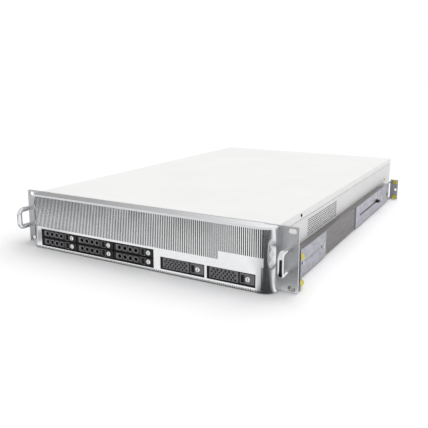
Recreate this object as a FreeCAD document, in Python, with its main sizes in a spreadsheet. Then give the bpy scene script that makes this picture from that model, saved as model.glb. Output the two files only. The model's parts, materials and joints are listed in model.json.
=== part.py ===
import FreeCAD, Part
import math
import os
import re
import Sketcher

Vector = FreeCAD.Vector
Rotation = FreeCAD.Rotation
Placement = FreeCAD.Placement

# Driving dimensions in millimetres: X across the rack, Y from front to rear, Z up.
# Y is zero on the rear face of the rack ears, Z is zero at half the panel height.
SIZES = {
    # Rack panel and ears
    "panel_width": 482.6,
    "panel_height": 88.1,
    "ear_thick": 3.0,
    "ear_plate_width": 47.3,
    "ear_corner": 2.0,
    "slot_spacing_wide": 465.1,
    "slot_spacing_high": 76.2,
    "slot_length": 11.0,
    "slot_height": 6.8,
    # Pull handles
    "handle_centre": 229.3,
    "handle_level": 2.0,
    "handle_reach": 34.0,
    "handle_pitch": 28.0,
    "handle_bar": 8.0,
    "handle_bend": 7.0,
    # Chassis and cover
    "chassis_width": 426.0,
    "chassis_depth": 675.0,
    "chassis_height": 86.0,
    "chassis_floor": -43.0,
    "sheet": 1.2,
    "cover_sheet": 1.0,
    "cover_flange": 10.0,
    "cover_tail": 9.0,
    "side_vent_start": 109.0,
    "side_vent_slot": 70.0,
    "side_vent_gap": 1.4,
    "side_vent_base": 0.6,
    "side_vent_height": 1.8,
    "side_vent_pitch": 3.3,
    "side_vent_columns": 2,
    "side_vent_rows": 8,
    "intake_width": 370.0,
    "intake_base": -4.0,
    "intake_height": 40.0,
    "intake_rib": 8.0,
    # Front bezel
    "bezel_width": 430.0,
    "bezel_depth": 24.0,
    "bezel_height": 86.0,
    "bezel_base": -42.5,
    "bezel_wall": 2.5,
    "bezel_end_wall": 11.0,
    "bezel_end_round": 16.0,
    "bezel_top_round": 2.4,
    "bezel_ear_gap": 0.2,
    "fin_pitch": 3.0,
    "fin_gap": 1.5,
    "fin_field_width": 405.0,
    "fin_base": -8.0,
    "fin_top": 40.9,
    "badge_width": 49.5,
    "badge_rise": 11.5,
    "rebate_height": 2.4,
    "rebate_depth": 5.0,
    "scallop_radius": 140.0,
    "scallop_depth": 1.3,
    "scallop_turn": 52.0,
    "scallop_level": 9.0,
    "filter_thick": 5.0,
    "filter_base": -9.5,
    "filter_clear": 0.5,
    # Drive bays
    "bay_left": -190.2,
    "bay_floor": -38.6,
    "bay_pitch_wide": 73.8,
    "bay_pitch_high": 13.4,
    "tall_bay_centre": 79.4,
    "tall_bay_pitch": 76.0,
    "tall_bay_middle": -28.8,
    "bay_border": 0.5,
    "cage_wall": 1.0,
    "cage_depth": 95.0,
    "slide_clear": 0.4,
    "lift_clear": 0.3,
    "cut_over": 1.0,
    # Drive trays, measured from the lower left front corner of each tray
    "tray_face": -22.5,
    "tray_width": 72.0,
    "tray_height": 11.8,
    "tall_tray_width": 71.4,
    "tall_tray_height": 17.2,
    "tray_head": 12.0,
    "tray_length": 112.0,
    "tray_floor": 1.0,
    "tray_wall": 0.7,
    "drive_side_gap": 0.1,
    "drive_length": 98.0,
    "drive_height": 9.5,
    "tall_drive_height": 15.0,
    "drive_lid": 1.0,
    "drive_lid_inset": 3.0,
    # Tray levers, release buttons and key locks
    "lever_thick": 2.6,
    "lever_sink": 0.2,
    "lever_pin_place": 3.4,
    "lever_pin_radius": 0.9,
    "lever_pin_clear": 0.06,
    "lever_length": 46.0,
    "tall_lever_length": 43.0,
    "lever_rim": 0.8,
    "lever_clear": 0.3,
    "lever_well": 6.0,
    "lever_hole_start": 16.8,
    "lever_hole_pitch": 8.7,
    "lever_hole_radius": 3.3,
    "lever_hole_count": 4,
    "mesh_start": 8.0,
    "mesh_pitch": 5.5,
    "mesh_row_pitch": 3.2,
    "mesh_radius": 1.6,
    "mesh_columns": 7,
    "mesh_rows": 4,
    "release_place": 50.9,
    "tall_release_place": 49.9,
    "release_width": 5.6,
    "release_height": 8.4,
    "tall_release_height": 13.0,
    "release_depth": 5.0,
    "release_sink": 0.4,
    "release_travel": 1.5,
    "release_clear": 0.3,
    "release_rib": 1.2,
    "lock_place": 63.0,
    "tall_lock_place": 60.3,
    "lock_radius": 3.7,
    "lock_clear": 0.07,
    "lock_length": 9.0,
    "lock_proud": 0.8,
    "lock_edge": 0.7,
    "key_slot_wide": 1.1,
    "key_slot_high": 4.2,
    "key_slot_deep": 3.0,
    # Drive backplane
    "board_thick": 1.6,
    "backplane_margin": 4.0,
    "plug_width": 42.0,
    "plug_height": 5.0,
    "plug_clear": 0.5,
    # Cooling fans
    "fan_front": 150.0,
    "fan_size": 80.0,
    "fan_depth": 25.0,
    "fan_pitch": 110.0,
    "fan_bore": 38.5,
    "fan_mount_radius": 15.0,
    "fan_mount_thick": 3.0,
    "fan_spoke": 3.0,
    "fan_gap": 0.4,
    "hub_radius": 16.0,
    "hub_length": 19.0,
    "blade_tip": 37.5,
    "blade_chord": 17.0,
    "blade_thick": 1.5,
    "blade_pitch_angle": 38.0,
    "blade_count": 7,
    # Main board and what stands on it
    "main_board_left": -105.0,
    "main_board_width": 305.0,
    "main_board_front": 335.0,
    "main_board_depth": 328.0,
    "standoff_height": 6.5,
    "standoff_radius": 3.5,
    "standoff_inset": 8.0,
    "socket_size": 60.0,
    "socket_height": 6.0,
    "socket_left": -60.0,
    "socket_pitch": 150.0,
    "socket_front": 400.0,
    "sink_size": 88.0,
    "sink_height": 56.0,
    "sink_base": 6.0,
    "sink_fin": 1.6,
    "sink_fin_pitch": 9.5,
    "module_slot_height": 6.0,
    "module_slot_width": 6.5,
    "module_length": 133.0,
    "module_slot_margin": 3.0,
    "module_height": 30.0,
    "module_thick": 1.4,
    "module_pitch": 9.0,
    "module_count": 4,
    "module_left": 19.0,
    "module_front": 365.0,
    "module_bite": 4.0,
    # Rear panel
    "port_left": 60.0,
    "port_width": 140.0,
    "port_height": 36.0,
    "port_depth": 18.0,
    "jack_width": 15.0,
    "jack_height": 12.0,
    "jack_pitch": 25.0,
    "jack_count": 5,
    "jack_base": 4.0,
    "wide_jack_width": 36.0,
    "wide_jack_height": 9.0,
    "wide_jack_pitch": 45.0,
    "wide_jack_count": 3,
    "wide_jack_base": 21.0,
    "jack_depth": 10.0,
    "rear_vent_width": 3.0,
    "rear_vent_pitch": 11.0,
    "rear_vent_count": 12,
    "rear_vent_base": 9.0,
    "rear_vent_height": 24.0,
    "card_left": -98.0,
    "card_pitch": 20.3,
    "card_count": 7,
    "card_width": 18.4,
    "card_opening": 13.0,
    "card_height": 66.0,
    "card_base": -30.0,
    "supply_left": -209.0,
    "supply_width": 86.0,
    "supply_height": 82.0,
    "supply_length": 230.0,
    "supply_clear": 0.3,
    "supply_wall": 1.5,
    "inlet_width": 27.0,
    "inlet_height": 20.0,
    "inlet_depth": 16.0,
    "inlet_base": 12.0,
    "supply_vent": 2.6,
    "supply_vent_pitch": 5.4,
    "supply_vent_height": 30.0,
    "supply_vent_margin": 10.0,
    "supply_vent_count": 12,
    # Slide rails and their rack brackets
    "rail_middle": -21.6,
    "rail_height": 40.2,
    "rail_sheet": 1.2,
    "rail_play": 0.4,
    "rail_side_gap": 1.6,
    "rail_width": 11.5,
    "rail_inner_width": 7.5,
    "rail_inner_front": 30.0,
    "rail_inner_rear": 600.0,
    "rail_outer_front": 14.0,
    "rail_outer_rear": 560.0,
    "bracket_sheet": 1.5,
    "bracket_height": 39.4,
    "bracket_front": 8.0,
    "front_bracket_rear": 158.0,
    "rear_bracket_front": 331.0,
    "rear_bracket_rear": 634.0,
    "bracket_flange": 16.0,
    "bracket_flange_base": -43.5,
    "bracket_flange_top": 13.0,
    "rear_flange_top": 1.0,
    "flange_tab": 7.0,
    "flange_notch_top": -31.0,
    "adjust_slot_front": 359.0,
    "adjust_slot_rear": 505.0,
    "adjust_slot_height": 4.0,
    "reach_window_front": 606.0,
    "reach_window_rear": 629.0,
    "reach_window_margin": 2.5,
    "bracket_hole_place": 137.0,
    "bracket_hole_radius": 2.5,
    "bracket_groove_front": 45.0,
    "bracket_groove_rear": 128.0,
    "bracket_groove_height": 2.0,
    "bracket_groove_depth": 0.6,
    "rack_pin_place": 236.0,
    "rack_pin_radius": 5.2,
    "rack_pin_length": 13.0,
    "rack_pin_low": -37.0,
    "rack_pin_high": -1.0,
}

doc = FreeCAD.newDocument("rack_server")
sheet = doc.addObject("Spreadsheet::Sheet", "size")
for line, (alias, number) in enumerate(SIZES.items(), 1):
    sheet.set("A%d" % line, alias)
    sheet.set("B%d" % line, str(number))
    sheet.setAlias("B%d" % line, alias)
doc.recompute()

NODES = []

# Sides of the repeated round pieces, few enough to keep their facets low
BAR_SIDES = 12
BEND_STEPS = 4
LOCK_SIDES = 12
PIN_SIDES = 6
KNUCKLE_SIDES = 8
HOLE_SIDES = 12
FAN_SIDES = 24
HUB_SIDES = 12


def value(alias):
    return float(sheet.get(alias))


def count(alias):
    return int(round(value(alias)))


def sized(text):
    return re.sub(r"[a-z][a-z_]*", lambda word: "size." + word.group(0), str(text))


def bind(item, **places):
    for prop, text in places.items():
        item.setExpression(prop.replace("__", "."), sized(text))
    return item


def move(item, x="0", y="0", z="0"):
    bind(item, Placement__Base__x=x, Placement__Base__y=y, Placement__Base__z=z)
    return item


def node(name, item):
    item.Label = name
    NODES.append((name, item))
    return item


# Solids from two corners, round bars and prisms
def block(x_span, y_span, z_span):
    item = doc.addObject("Part::Box", "block")
    for edge, span in zip(("Length", "Width", "Height"), (x_span, y_span, z_span)):
        item.setExpression(edge, sized("(%s) - (%s)" % (span[1], span[0])))
    return move(item, x_span[0], y_span[0], z_span[0])


ALONG = {
    "x": Rotation(Vector(0, 1, 0), 90),
    "y": Rotation(Vector(1, 0, 0), -90),
    "z": Rotation(),
}


def rod(along, radius, length, x, y, z):
    item = doc.addObject("Part::Cylinder", "rod")
    item.Placement = Placement(Vector(), ALONG[along])
    bind(item, Radius=radius, Height=length)
    return move(item, x, y, z)


def prism(along, sides, radius, length, x, y, z):
    item = doc.addObject("Part::Prism", "prism")
    item.Polygon = sides
    item.Placement = Placement(Vector(), ALONG[along])
    bind(item, Circumradius=radius, Height=length)
    return move(item, x, y, z)


# The flats of a many-sided bore stand where a round bore of this radius would
def bore_radius(sides, radius):
    return "%.6f*(%s)" % (1 / math.cos(math.pi / sides), radius)


def group(*items):
    item = doc.addObject("Part::Compound", "group")
    item.Links = list(items)
    return item


def fuse(*items):
    item = doc.addObject("Part::MultiFuse", "joined")
    item.Shapes = list(items)
    item.Refine = True
    return item


# Tools of one cut lie clear of each other, or are fused first
def cut(base, *tools):
    item = doc.addObject("Part::Cut", "cut")
    item.Base = base
    item.Tool = tools[0] if len(tools) == 1 else group(*tools)
    item.Refine = True
    return item


def copy(master, x="0", y="0", z="0"):
    return move(group(master), x, y, z)


def mirror(source):
    item = doc.addObject("Part::Mirroring", "mirror")
    item.Source = source
    item.Normal = Vector(1, 0, 0)
    return item


# Sketched lines: each corner is held by two bound distances from the sketch's origin
def draw(item, corners, closed=True):
    first = item.GeometryCount
    total = len(corners)
    lines = total if closed else total - 1
    turns = [2 * math.pi * step / total for step in range(total)]
    start = [Vector(math.cos(turn), math.sin(turn), 0) for turn in turns]
    for step in range(lines):
        item.addGeometry(Part.LineSegment(start[step], start[(step + 1) % total]))
    for step in range(lines if closed else lines - 1):
        after = first + (step + 1) % total
        item.addConstraint(Sketcher.Constraint("Coincident", first + step, 2, after, 1))
    for step, corner in enumerate(corners):
        line, end = (first + step, 1) if step < lines else (first + lines - 1, 2)
        for kind, text, now in zip(("DistanceX", "DistanceY"), corner, start[step]):
            rule = Sketcher.Constraint(kind, -1, 1, line, end, now)
            item.setExpression("Constraints[%d]" % item.addConstraint(rule), sized(text))


def origin(body, role):
    return [part for part in body.Origin.OriginFeatures if part.Role == role][0]


def sketch(body, plane, *loops):
    item = body.newObject("Sketcher::SketchObject", "outline")
    item.AttachmentSupport = (origin(body, plane), [""])
    item.MapMode = "FlatFace"
    for loop in loops:
        draw(item, loop)
    return item


def rectangle(left, right, low, high):
    return [(left, low), (right, low), (right, high), (left, high)]


def pad(body, outline, length, reverse=False):
    item = body.newObject("PartDesign::Pad", "pad")
    item.Profile = outline
    item.Reversed = reverse
    return bind(item, Length=length)


def pocket_through(body, outline):
    item = body.newObject("PartDesign::Pocket", "pocket")
    item.Profile = outline
    item.Type = "ThroughAll"
    item.Midplane = True
    return item


def repeat(body, feature, axis, step, copies):
    item = body.newObject("PartDesign::LinearPattern", "pattern")
    item.Originals = [feature]
    item.Direction = (origin(body, axis), [""])
    item.Mode = "Spacing"
    item.Occurrences = copies
    bind(item, Offset=step)
    body.Tip = item
    return item


def round_edges(body, feature, radius, chosen):
    doc.recompute()
    names = []
    for index, edge in enumerate(feature.Shape.Edges, 1):
        if chosen(edge.BoundBox):
            names.append("Edge%d" % index)
    item = body.newObject("PartDesign::Fillet", "fillet")
    item.Base = (feature, names)
    return bind(item, Radius=radius)


def near(first, second):
    return abs(first - second) < 1e-4


# Rack ears: flat plates behind the bezel's ends with two open slots each
EAR_INNER = "panel_width/2 - ear_plate_width"
ear_body = doc.addObject("PartDesign::Body", "ear_body")
ear_plan = rectangle(EAR_INNER, "panel_width/2", "-panel_height/2", "panel_height/2")
ear_pad = pad(ear_body, sketch(ear_body, "XZ_Plane", ear_plan), "ear_thick")
half_panel = value("panel_width") / 2
round_edges(
    ear_body, ear_pad, "ear_corner",
    lambda box: near(box.XMin, half_panel) and near(box.ZMin, box.ZMax) and box.YLength > 0.1,
)


def ear_slot(level):
    reach = "(slot_length - slot_height)/2"
    middle = "slot_spacing_wide/2"
    ends = []
    for side in ("-", "+"):
        place = "%s %s %s" % (middle, side, reach)
        ends.append(rod("y", "slot_height/2", "3*ear_thick", place, "-2*ear_thick", level))
    bar = block(
        ("%s - %s" % (middle, reach), "%s + %s" % (middle, reach)),
        ("-2*ear_thick", "ear_thick"),
        ("%s - slot_height/2" % level, "%s + slot_height/2" % level),
    )
    return fuse(bar, *ends)


ear = cut(ear_body, ear_slot("slot_spacing_high/2"), ear_slot("(-slot_spacing_high/2)"))
node("ear_right", ear)
node("ear_left", mirror(ear))

# Pull handles: a bent round bar standing on the ear
GRIP = "(-ear_thick - handle_reach + handle_bar/2)"
TURN = "(%s + handle_bend)" % GRIP
LEG_TOP = "(handle_level + handle_pitch/2)"
LEG_LOW = "(handle_level - handle_pitch/2)"


def bend(share):
    return "%.6f*handle_bend" % share


turns = [step * math.pi / 2 / BEND_STEPS for step in range(BEND_STEPS + 1)]
handle_path = [("-ear_thick", LEG_LOW)]
for turn in turns:
    handle_path.append(("%s - %s" % (TURN, bend(math.sin(turn))), "%s + %s" % (LEG_LOW, bend(1 - math.cos(turn)))))
for turn in turns:
    handle_path.append(("%s - %s" % (TURN, bend(math.cos(turn))), "%s - %s" % (LEG_TOP, bend(1 - math.sin(turn)))))
handle_path.append(("-ear_thick", LEG_TOP))
handle_line = doc.addObject("Sketcher::SketchObject", "handle_line")
handle_line.Placement = Placement(Vector(), Rotation(Vector(1, 1, 1), 120))
draw(move(handle_line, "handle_centre"), handle_path, closed=False)
bar = doc.addObject("Part::RegularPolygon", "bar")
bar.Polygon = BAR_SIDES
bar.Placement = Placement(Vector(), Rotation(Vector(1, 0, 0), 90))
bind(bar, Circumradius="handle_bar/2")
move(bar, "handle_centre", "-ear_thick", LEG_LOW)
handle = doc.addObject("Part::Sweep", "handle")
handle.Sections = [bar]
handle.Spine = (handle_line, [])
handle.Solid = True
handle.Transition = "Right corner"
node("handle_right", handle)
node("handle_left", mirror(handle))

# Bays: three columns of two low trays on the left, two tall trays on the right
LOW_BAYS = []
for column in range(3):
    for row in (1, 0):
        centre = "bay_left + bay_pitch_wide*%s" % (column + 0.5)
        middle = "bay_floor + bay_pitch_high*%s" % (row + 0.5)
        LOW_BAYS.append((centre, middle))
TALL_BAYS = [
    ("tall_bay_centre", "tall_bay_middle"),
    ("tall_bay_centre + tall_bay_pitch", "tall_bay_middle"),
]
LOW_TRAY = {
    "wide": "tray_width", "high": "tray_height", "drive": "drive_height", "lever": "lever_length",
    "release": "release_place", "release_high": "release_height", "lock": "lock_place",
}
TALL_TRAY = {part: "tall_" + alias for part, alias in LOW_TRAY.items()}
TRAYS = [(bay, LOW_TRAY) for bay in LOW_BAYS] + [(bay, TALL_TRAY) for bay in TALL_BAYS]


def window(bay, tray, side_gap, rise_gap):
    half_wide = "(%s/2 + %s)" % (tray["wide"], side_gap)
    half_high = "(%s/2 + %s)" % (tray["high"], rise_gap)
    return rectangle(
        "%s - %s" % (bay[0], half_wide), "%s + %s" % (bay[0], half_wide),
        "%s - %s" % (bay[1], half_high), "%s + %s" % (bay[1], half_high),
    )


BLOCK_WINDOW = rectangle(
    "bay_left - bay_border", "bay_left + 3*bay_pitch_wide + bay_border",
    "bay_floor - bay_border", "bay_floor + 2*bay_pitch_high + bay_border",
)
TALL_WINDOWS = [window(bay, TALL_TRAY, "bay_border", "bay_border") for bay in TALL_BAYS]

# Front bezel: a rounded shell with a field of upright fins over the drive windows
bezel_body = doc.addObject("PartDesign::Body", "bezel_body")
bezel_plan = rectangle("-bezel_width/2", "bezel_width/2", "bezel_base", "bezel_base + bezel_height")
bezel_pad = pad(bezel_body, sketch(bezel_body, "XZ_Plane", bezel_plan), "bezel_depth")
bezel_front = -value("bezel_depth")
bezel_top = value("bezel_base") + value("bezel_height")
bezel_ends = round_edges(
    bezel_body, bezel_pad, "bezel_end_round",
    lambda box: near(box.YMax, bezel_front) and box.ZLength > 1,
)
round_edges(
    bezel_body, bezel_ends, "bezel_top_round",
    lambda box: near(box.ZMin, bezel_top) and not near(box.YMin, 0),
)
cavity = sketch(bezel_body, "XZ_Plane", rectangle(
    "-bezel_width/2 + bezel_end_wall", "bezel_width/2 - bezel_end_wall",
    "bezel_base + bezel_wall", "bezel_base + bezel_height - bezel_wall",
))
hollow = bezel_body.newObject("PartDesign::Pocket", "hollow")
hollow.Profile = cavity
hollow.Reversed = True
bind(hollow, Length="bezel_depth - bezel_wall")
pocket_through(bezel_body, sketch(bezel_body, "XZ_Plane", BLOCK_WINDOW, *TALL_WINDOWS))

# Seats for the ears, and shallow finger scallops in the rounded ends beside the handles
scallop_turn = math.radians(value("scallop_turn"))
for sign in ("", "-"):
    inner = "%s(%s - bezel_ear_gap)" % (sign, EAR_INNER)
    seat = bezel_body.newObject("PartDesign::SubtractiveBox", "seat")
    bind(seat, Length="bezel_width", Width="2*ear_thick", Height="2*panel_height")
    move(seat, inner if sign == "" else inner + " - bezel_width", "-ear_thick", "-panel_height")
    scallop = bezel_body.newObject("PartDesign::SubtractiveSphere", "scallop")
    bind(scallop, Radius="scallop_radius")
    away = "(bezel_end_round - scallop_depth + scallop_radius)"
    place = "%s(bezel_width/2 - bezel_end_round + %.6f*%s)" % (sign, math.sin(scallop_turn), away)
    move(scallop, place, "bezel_end_round - bezel_depth - %.6f*%s" % (math.cos(scallop_turn), away), "scallop_level")

# Upright gaps between the fins, shorter above the bare badge place, and a rebate along the lower edge
fin_total = int(value("fin_field_width") / value("fin_pitch"))
short_total = int(value("badge_width") / value("fin_pitch"))
long_total = fin_total - short_total
FIRST_GAP = "(-fin_field_width/2 + (fin_pitch - fin_gap)/2)"


def fin_slot(steps, low, high):
    left = "%s + %d*fin_pitch" % (FIRST_GAP, steps)
    return sketch(bezel_body, "XZ_Plane", rectangle(left, left + " + fin_gap", low, high))


long_slot = pocket_through(bezel_body, fin_slot(0, "fin_base", "fin_top"))
repeat(bezel_body, long_slot, "X_Axis", "fin_pitch", long_total)
short_slot = pocket_through(bezel_body, fin_slot(long_total, "fin_base + badge_rise", "fin_top"))
repeat(bezel_body, short_slot, "X_Axis", "fin_pitch", short_total)
rebate = bezel_body.newObject("PartDesign::SubtractiveBox", "rebate")
bind(rebate, Length="fin_field_width", Width="2*rebate_depth", Height="2*rebate_height")
move(rebate, "-fin_field_width/2", "-bezel_depth - rebate_depth", "bezel_base - rebate_height")
node("front_bezel", bezel_body)

# Air filter: a stiff mesh cassette held in the bezel's hollow behind the fins
FILTER_HALF = "(bezel_width/2 - bezel_end_wall - filter_clear)"
FIN_REAR = "(-bezel_depth + bezel_wall)"
node("air_filter", block(
    ("-" + FILTER_HALF, FILTER_HALF), (FIN_REAR, FIN_REAR + " + filter_thick"),
    ("filter_base", "bezel_base + bezel_height - bezel_wall"),
))

# Chassis: a folded tray with front and rear walls
HALF = "chassis_width/2"
ROOF = "(chassis_floor + chassis_height)"
DECK = "(chassis_floor + sheet)"
tray_body = doc.addObject("PartDesign::Body", "chassis_body")
tray_fold = [
    ("-" + HALF, "chassis_floor"), (HALF, "chassis_floor"), (HALF, ROOF), (HALF + " - sheet", ROOF),
    (HALF + " - sheet", DECK), ("-%s + sheet" % HALF, DECK), ("-%s + sheet" % HALF, ROOF), ("-" + HALF, ROOF),
]
pad(tray_body, sketch(tray_body, "XZ_Plane", tray_fold), "chassis_depth", True)

vent_loops = []
for column in range(count("side_vent_columns")):
    left = "side_vent_start + %d*(side_vent_slot + side_vent_gap)" % column
    vent_loops.append(rectangle(left, left + " + side_vent_slot",
                                "side_vent_base", "side_vent_base + side_vent_height"))
vent_row = pocket_through(tray_body, sketch(tray_body, "YZ_Plane", *vent_loops))
repeat(tray_body, vent_row, "Z_Axis", "side_vent_pitch", count("side_vent_rows"))

INSIDE = ("-%s + sheet" % HALF, HALF + " - sheet")
front_wall = block(INSIDE, ("0", "sheet"), (DECK, ROOF))
rear_wall = block(INSIDE, ("chassis_depth - sheet", "chassis_depth"), (DECK, ROOF))


def through_front(loop):
    return block((loop[0][0], loop[1][0]), ("-sheet", "2*sheet"), (loop[0][1], loop[2][1]))


def through_rear(left, right, low, high):
    return block((left, right), ("chassis_depth - 2*sheet", "chassis_depth + sheet"), (low, high))


front_cuts = [through_front(BLOCK_WINDOW)] + [through_front(loop) for loop in TALL_WINDOWS]
INTAKE_PART = "((intake_width - 2*intake_rib)/3)"
for part in range(3):
    left = "-intake_width/2 + %d*(%s + intake_rib)" % (part, INTAKE_PART)
    front_cuts.append(through_front(rectangle(left, "%s + %s" % (left, INTAKE_PART),
                                              "intake_base", "intake_base + intake_height")))

BOARD_LOW = "(%s + standoff_height)" % DECK
BOARD_TOP = "(%s + board_thick)" % BOARD_LOW
rear_cuts = [
    through_rear("supply_left - supply_clear", "supply_left + supply_width + supply_clear",
                 DECK, DECK + " + supply_height + supply_clear"),
    through_rear("port_left - supply_clear", "port_left + port_width + supply_clear",
                 BOARD_LOW, BOARD_TOP + " + port_height + supply_clear"),
]
for step in range(count("rear_vent_count")):
    left = "port_left + (%s)*rear_vent_pitch - rear_vent_width/2" % (step + 0.5)
    rear_cuts.append(through_rear(left, left + " + rear_vent_width",
                                  "rear_vent_base", "rear_vent_base + rear_vent_height"))
for card in range(count("card_count")):
    middle = "card_left + %d*card_pitch + card_width/2" % card
    rear_cuts.append(through_rear(middle + " - card_opening/2", middle + " + card_opening/2",
                                  "card_base", "card_base + card_height"))

standoffs = []
for across in ("standoff_inset", "main_board_width/2", "main_board_width - standoff_inset"):
    for along in ("standoff_inset", "main_board_depth/2", "main_board_depth - standoff_inset"):
        standoffs.append(prism("z", 6, "standoff_radius", "standoff_height",
                               "main_board_left + " + across, "main_board_front + " + along, DECK))
walls = [cut(front_wall, *front_cuts), cut(rear_wall, *rear_cuts)]
node("chassis_base", fuse(tray_body, *walls, *standoffs))

# Top cover: folded lid over the side walls with a tail over the rear wall
LID = "(%s + cover_sheet)" % ROOF
EDGE = "(%s + cover_sheet)" % HALF
HEM = "(%s - cover_flange)" % ROOF
cover_body = doc.addObject("PartDesign::Body", "cover_body")
cover_fold = [
    ("-" + EDGE, HEM), ("-" + HALF, HEM), ("-" + HALF, ROOF), (HALF, ROOF),
    (HALF, HEM), (EDGE, HEM), (EDGE, LID), ("-" + EDGE, LID),
]
pad(cover_body, sketch(cover_body, "XZ_Plane", cover_fold), "chassis_depth", True)
tail = block(("-" + EDGE, EDGE), ("chassis_depth", "chassis_depth + cover_sheet"), (ROOF + " - cover_tail", LID))
node("top_cover", fuse(cover_body, tail))

# Drive cage: folded shelves and dividers round the eight bays
CAGE_LEFT = "(bay_left - cage_wall)"
CAGE_RIGHT = "(tall_bay_centre + tall_bay_pitch + tall_tray_width/2 + slide_clear + cage_wall)"
CAGE_TOP = "(bay_floor + 2*bay_pitch_high + cage_wall)"
CAGE_SPAN = ("0", "cage_depth + sheet")
cage_block = block((CAGE_LEFT, CAGE_RIGHT), ("sheet", "cage_depth"), (DECK, CAGE_TOP))
cage_cuts = []
for bay, tray in TRAYS:
    loop = window(bay, tray, "slide_clear", "lift_clear")
    cage_cuts.append(block((loop[0][0], loop[1][0]), CAGE_SPAN, (loop[0][1], loop[2][1])))
tall_top = "tall_bay_middle + tall_tray_height/2 + lift_clear + cage_wall"
cage_cuts.append(block(
    ("tall_bay_centre - tall_tray_width/2 - slide_clear", CAGE_RIGHT + " - cage_wall"),
    CAGE_SPAN, (tall_top, CAGE_TOP + " - cage_wall"),
))
cage_cuts.append(block(
    ("bay_left + 3*bay_pitch_wide + cage_wall", "tall_bay_centre - tall_tray_width/2 - slide_clear - cage_wall"),
    CAGE_SPAN, ("bay_floor", CAGE_TOP + " - cage_wall"),
))
cage_cuts.append(block(
    (CAGE_LEFT + " + cage_wall", CAGE_RIGHT + " - cage_wall"),
    CAGE_SPAN, (DECK + " - sheet", "bay_floor - cage_wall"),
))
node("drive_cage", cut(cage_block, *cage_cuts))

# Backplane on the cage's rear edge with one plug behind each drive
PLUG_FRONT = "tray_face + tray_head + drive_length + plug_clear"
plane = block(
    (CAGE_LEFT + " + backplane_margin", CAGE_RIGHT + " - backplane_margin"),
    ("cage_depth", "cage_depth + board_thick"), ("bay_floor", CAGE_TOP),
)
plugs = []
for bay, tray in TRAYS:
    base = "%s - %s/2 + tray_floor" % (bay[1], tray["high"])
    plugs.append(block(
        (bay[0] + " - plug_width/2", bay[0] + " + plug_width/2"),
        (PLUG_FRONT, "cage_depth"), (base + " + tray_floor", base + " + tray_floor + plug_height"),
    ))
node("drive_backplane", fuse(plane, *plugs))


# Drive trays: moulded head with a lever well, a button pocket and a lock bore, then a sled with its disk
def tray_master(tray):
    wide, high = tray["wide"], tray["high"]
    head = block(("0", wide), ("0", "tray_head"), ("0", high))
    floor = block(("0", wide), ("tray_head", "tray_length"), ("0", "tray_floor"))
    sides = []
    for left in ("0", wide + " - tray_wall"):
        sides.append(block((left, left + " + tray_wall"), ("tray_head", "tray_length"), ("0", high)))
    well_left = "lever_pin_place - lever_thick/2 - lever_clear"
    well = block(
        (well_left, "lever_pin_place + %s + lever_clear" % tray["lever"]),
        ("-cut_over", "lever_well"), ("lever_rim", high + " - lever_rim"),
    )
    pin_middle = "lever_sink + lever_thick/2"
    pin_bore = prism("z", PIN_SIDES, bore_radius(PIN_SIDES, "lever_pin_radius + lever_pin_clear"), high,
                     "lever_pin_place", pin_middle, "0")
    half_release = "(%s/2 + release_clear)" % tray["release_high"]
    button_pocket = block(
        (tray["release"] + " - release_clear", tray["release"] + " + release_width + release_clear"),
        ("-cut_over", "release_sink + release_depth + release_travel + release_clear"),
        ("%s/2 - %s" % (high, half_release), "%s/2 + %s" % (high, half_release)),
    )
    lock_bore = prism("y", LOCK_SIDES, bore_radius(LOCK_SIDES, "lock_radius + lock_clear"),
                      "tray_head + 2*cut_over", tray["lock"], "-cut_over", high + "/2")
    carrier = cut(fuse(head, floor, *sides), fuse(well, pin_bore), button_pocket, lock_bore)
    drive_left = "tray_wall + drive_side_gap"
    drive_right = "%s - tray_wall - drive_side_gap" % wide
    drive_rear = "tray_head + drive_length"
    lid_low = "tray_floor + %s - drive_lid" % tray["drive"]
    case = block((drive_left, drive_right), ("tray_head", drive_rear), ("tray_floor", lid_low))
    lid = block(
        (drive_left + " + drive_lid_inset", drive_right + " - drive_lid_inset"),
        ("tray_head + drive_lid_inset", drive_rear + " - drive_lid_inset"),
        (lid_low, lid_low + " + drive_lid"),
    )
    return group(carrier, fuse(case, lid))


# Levers: a plate that swings on an upright pin, pierced by hexagons or by a diamond mesh
def lever_blank(tray):
    low = "lever_rim + lever_clear"
    top = "%s - lever_rim - lever_clear" % tray["high"]
    pin_middle = "lever_sink + lever_thick/2"
    plate = block(("lever_pin_place", "lever_pin_place + " + tray["lever"]),
                  ("lever_sink", "lever_sink + lever_thick"), (low, top))
    knuckle = prism("z", KNUCKLE_SIDES, "lever_thick/2", "(%s) - (%s)" % (top, low),
                    "lever_pin_place", pin_middle, low)
    pin = prism("z", PIN_SIDES, "lever_pin_radius", tray["high"], "lever_pin_place", pin_middle, "0")
    return fuse(plate, knuckle, pin)


def low_lever():
    holes = []
    for step in range(count("lever_hole_count")):
        place = "lever_hole_start + %d*lever_hole_pitch" % step
        holes.append(prism("y", 6, "lever_hole_radius", "3*lever_thick", place, "-lever_thick", "tray_height/2"))
    return cut(lever_blank(LOW_TRAY), *holes)


def tall_lever():
    holes = []
    for row in range(count("mesh_rows")):
        for column in range(count("mesh_columns") - row % 2):
            place = "mesh_start + mesh_pitch*%s" % (column + 0.5 * (row % 2))
            rise = "tall_tray_height/2 + mesh_row_pitch*(%d - (mesh_rows - 1)/2)" % row
            holes.append(prism("y", 4, "mesh_radius", "3*lever_thick", place, "-lever_thick", rise))
    return cut(lever_blank(TALL_TRAY), *holes)


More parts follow.
